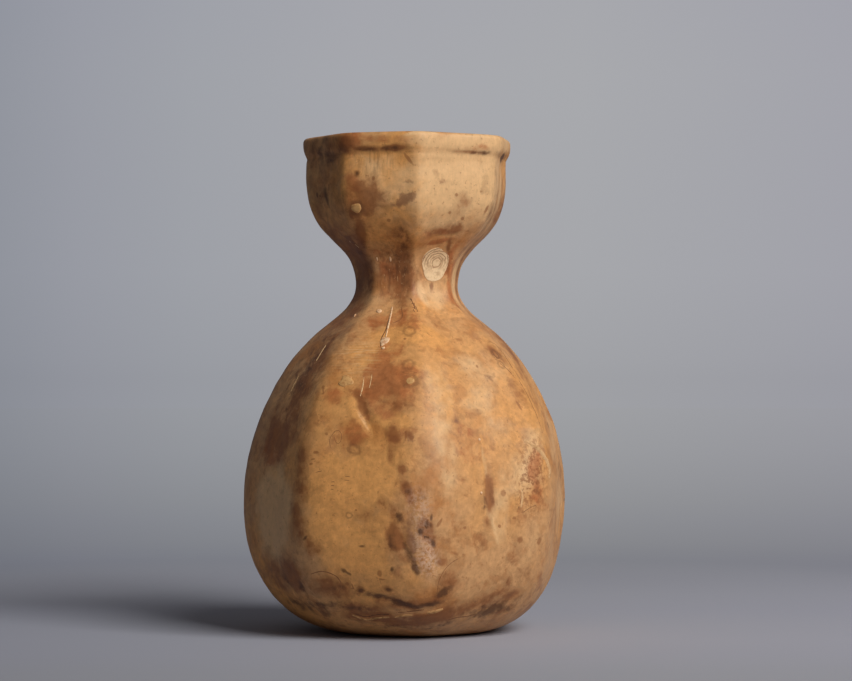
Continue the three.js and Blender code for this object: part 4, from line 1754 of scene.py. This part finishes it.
@dataclass(frozen=True)
class Studio:
    """The pale sweep that the cup stands on, the grey air behind it, the lamp and the camera.

    Its sizes are in metres. The floor is lit up to the near distance, with painted shading that makes its
    grey darker towards the front and to the left.
    From the far one on it shows the camera the sweep's colours, also with painted shading: darker nearer
    the cup and darker, bluer to the left. A place on the sweep is how far below the horizon it is seen, in
    shares of 1000 pixels.
    """

    floor_radius: float = 8.0
    near: float = 0.27
    far: float = 0.50
    distance: float = 1.08
    side: float = 0.0003
    eye_height: float = 0.1007
    focal_pixels: float = 2700.0
    sensor_width: float = 36.0
    half_view: float = 0.158
    horizon_span: Span = (0, 0.14)
    gloss: float = 0.4
    aim: tuple[float, float, float] = (0.0083, 0.0, 0.1157)
    # The far floor's colours as the camera sees them, with painted shading that darkens them nearer the
    # cup.
    sweep: Stops = (
        (0.000, srgb(161, 162, 165)), (0.036, srgb(158, 159, 162)), (0.072, srgb(154, 155, 158)),
        (0.102, srgb(149, 150, 153)), (0.122, srgb(145, 146, 149)), (0.142, srgb(140, 141, 145)),
        (0.162, srgb(135, 136, 140)), (0.172, srgb(131, 132, 137)), (0.181, srgb(129, 130, 136)),
        (0.190, srgb(134, 135, 140)), (0.202, srgb(140, 141, 147)), (0.217, srgb(145, 146, 152)),
    )
    # The lit floor's grey, with painted shading that darkens it towards the front.
    paper_span: Span = (-0.2, 0.3)
    paper: Stops = (
        (0.034, srgb(157, 157, 162)), (0.102, srgb(160, 160, 166)), (0.204, srgb(165, 165, 173)),
        (0.316, srgb(170, 170, 178)), (0.442, srgb(172, 172, 180)), (0.584, srgb(173, 173, 182)),
        (0.746, srgb(176, 176, 184)),
    )
    fill: Stops = (
        (0.0, (0.054, 0.054, 0.057, 1)), (0.5, (0.092, 0.092, 0.097, 1)), (1.0, (0.140, 0.140, 0.146, 1)),
    )
    # The air's grey as the camera sees it, with painted shading that lightens it upwards.
    air: Stops = (
        (0.00, srgb(159, 160, 164)), (0.05, srgb(161, 162, 166)), (0.13, srgb(163, 164, 168)),
        (0.28, srgb(166, 167, 171)), (0.80, srgb(168, 169, 173)), (1.00, srgb(167, 168, 173)),
    )
    shading: Stops = (
        (0.00, srgb(220, 224, 232)), (0.12, srgb(234, 236, 243)), (0.25, srgb(243, 245, 249)),
        (0.45, srgb(252, 252, 254)), (0.70, srgb(255, 255, 255)), (1.00, srgb(249, 248, 253)),
    )

    def build(self) -> None:
        """Sets up the sweep, the air, the lamp and the camera."""
        self._floor()
        self._air()
        self._lamp("key_softbox", azimuth=41, elevation=35, distance=1.7, size=1.0, power=29.2)
        self._camera()

    def _floor(self) -> None:
        """Lays the floor, whose lit grey has painted shading and which past a short distance shows the
        camera the sweep's colours with painted shading.
        """
        bpy.ops.object.select_all(action="DESELECT")
        bpy.ops.mesh.primitive_circle_add(vertices=96, radius=self.floor_radius, fill_type="TRIFAN",
                                          location=(0, 0, 0))
        floor = bpy.context.object
        floor.name = "studio_floor"
        board = Board(bpy.data.materials.new("studio_sweep"))
        reach = board.node("ShaderNodeVectorMath", {0: board.place}, operation="LENGTH").outputs["Value"]
        parts = board.node("ShaderNodeSeparateXYZ", {0: board.place})
        away = board.sum("ADD", reach, self.distance)
        drop = board.sum("DIVIDE", self.eye_height * self.focal_pixels / 1000, away)
        side = board.rescale(board.sum("DIVIDE", parts.outputs[0], away), (-self.half_view, self.half_view))
        shading = board.ramp(side, self.shading)
        seen = board.mix(1.0, board.ramp(drop, self.sweep), shading, "MULTIPLY")
        depth = board.rescale(parts.outputs[1], self.paper_span)
        colour = board.mix(0.5, board.ramp(depth, self.paper), shading, "MULTIPLY")
        matt = {"Base Color": colour, "Roughness": 0.9, "Specular IOR Level": 0.2}
        paper = board.node("ShaderNodeBsdfPrincipled", matt)
        glow = board.node("ShaderNodeEmission", {"Color": seen})
        ray = board.node("ShaderNodeLightPath").outputs["Is Camera Ray"]
        share = board.sum("MULTIPLY", board.band(reach, self.near, self.far), ray)
        mixer = board.node("ShaderNodeMixShader", {0: share, 1: paper.outputs[0], 2: glow.outputs[0]})
        board.node("ShaderNodeOutputMaterial", {"Surface": mixer.outputs[0]})
        floor.data.materials.append(board.owner)

    def _air(self) -> None:
        """Fills the air with a low light and shows a paler grey behind the cup, with painted shading:
        lighter upwards and darker and bluer to the left.
        """
        board = Board(bpy.data.worlds.new("studio_air"), "Generated")
        parts = board.node("ShaderNodeSeparateXYZ", {0: board.place})
        rise = board.rescale(parts.outputs[2], self.horizon_span)
        side = board.rescale(parts.outputs[0], (-self.half_view, self.half_view))
        colour = board.mix(1.0, board.ramp(rise, self.air), board.ramp(side, self.shading), "MULTIPLY")
        seen = board.node("ShaderNodeBackground", {"Color": colour})
        sideways = board.rescale(parts.outputs[0], (-1, 1))
        fill = board.node("ShaderNodeBackground", {"Color": board.ramp(sideways, self.fill)})
        rays = board.node("ShaderNodeLightPath").outputs
        share = board.sum("MULTIPLY_ADD", rays["Is Glossy Ray"], self.gloss, rays["Is Camera Ray"])
        mixer = board.node("ShaderNodeMixShader", {0: share, 1: fill.outputs[0], 2: seen.outputs[0]})
        board.node("ShaderNodeOutputWorld", {"Surface": mixer.outputs[0]})
        bpy.context.scene.world = board.owner

    def _lamp(self, name: str, azimuth: float, elevation: float, distance: float, size: float,
              power: float) -> None:
        """Hangs a soft box that faces the cup.

        Args:
            name: The lamp's name.
            azimuth: Where it hangs, in degrees from the front towards +X.
            elevation: How high it hangs, in degrees above the cup's middle.
            distance: How far it is from the cup, in metres.
            size: The length of its sides, in metres.
            power: Its power, in watts.
        """
        turn, rise = math.radians(azimuth), math.radians(elevation)
        away = Vector((math.sin(turn) * math.cos(rise), -math.cos(turn) * math.cos(rise), math.sin(rise)))
        light = bpy.data.lights.new(name, "AREA")
        light.shape = "SQUARE"
        light.size = size
        light.energy = power
        lamp = bpy.data.objects.new(name, light)
        lamp.location = Vector((0, 0, 0.1)) + away * distance
        lamp.rotation_mode = "QUATERNION"
        lamp.rotation_quaternion = away.to_track_quat("Z", "Y")
        bpy.context.scene.collection.objects.link(lamp)

    def _camera(self) -> None:
        """Sets the camera where the photograph was taken from."""
        lens = bpy.data.cameras.new("portrait_lens")
        lens.sensor_width = self.sensor_width
        lens.lens = self.focal_pixels * lens.sensor_width / IMAGE_WIDTH
        camera = bpy.data.objects.new("camera", lens)
        camera.location = (self.side, -self.distance, self.eye_height)
        camera.rotation_mode = "QUATERNION"
        camera.rotation_quaternion = (Vector(self.aim) - camera.location).to_track_quat("-Z", "Y")
        bpy.context.scene.collection.objects.link(camera)
        bpy.context.scene.camera = camera


def main() -> None:
    """Builds the cup's pieces in order, then the studio round them."""
    logging.basicConfig(level=logging.INFO, format="%(name)s: %(message)s")
    skin = GourdShell().build()
    pieces = [skin, WaxCoat().build()]
    ground = Ground(skin)
    pieces += [growth.build(ground) for growth in GROWTHS]
    for piece in pieces:
        LOG.info("%s: %d faces", piece.name, len(piece.data.polygons))
    Studio().build()
    bpy.context.scene.view_settings.view_transform = "Standard"


if __name__ == "__main__":
    main()
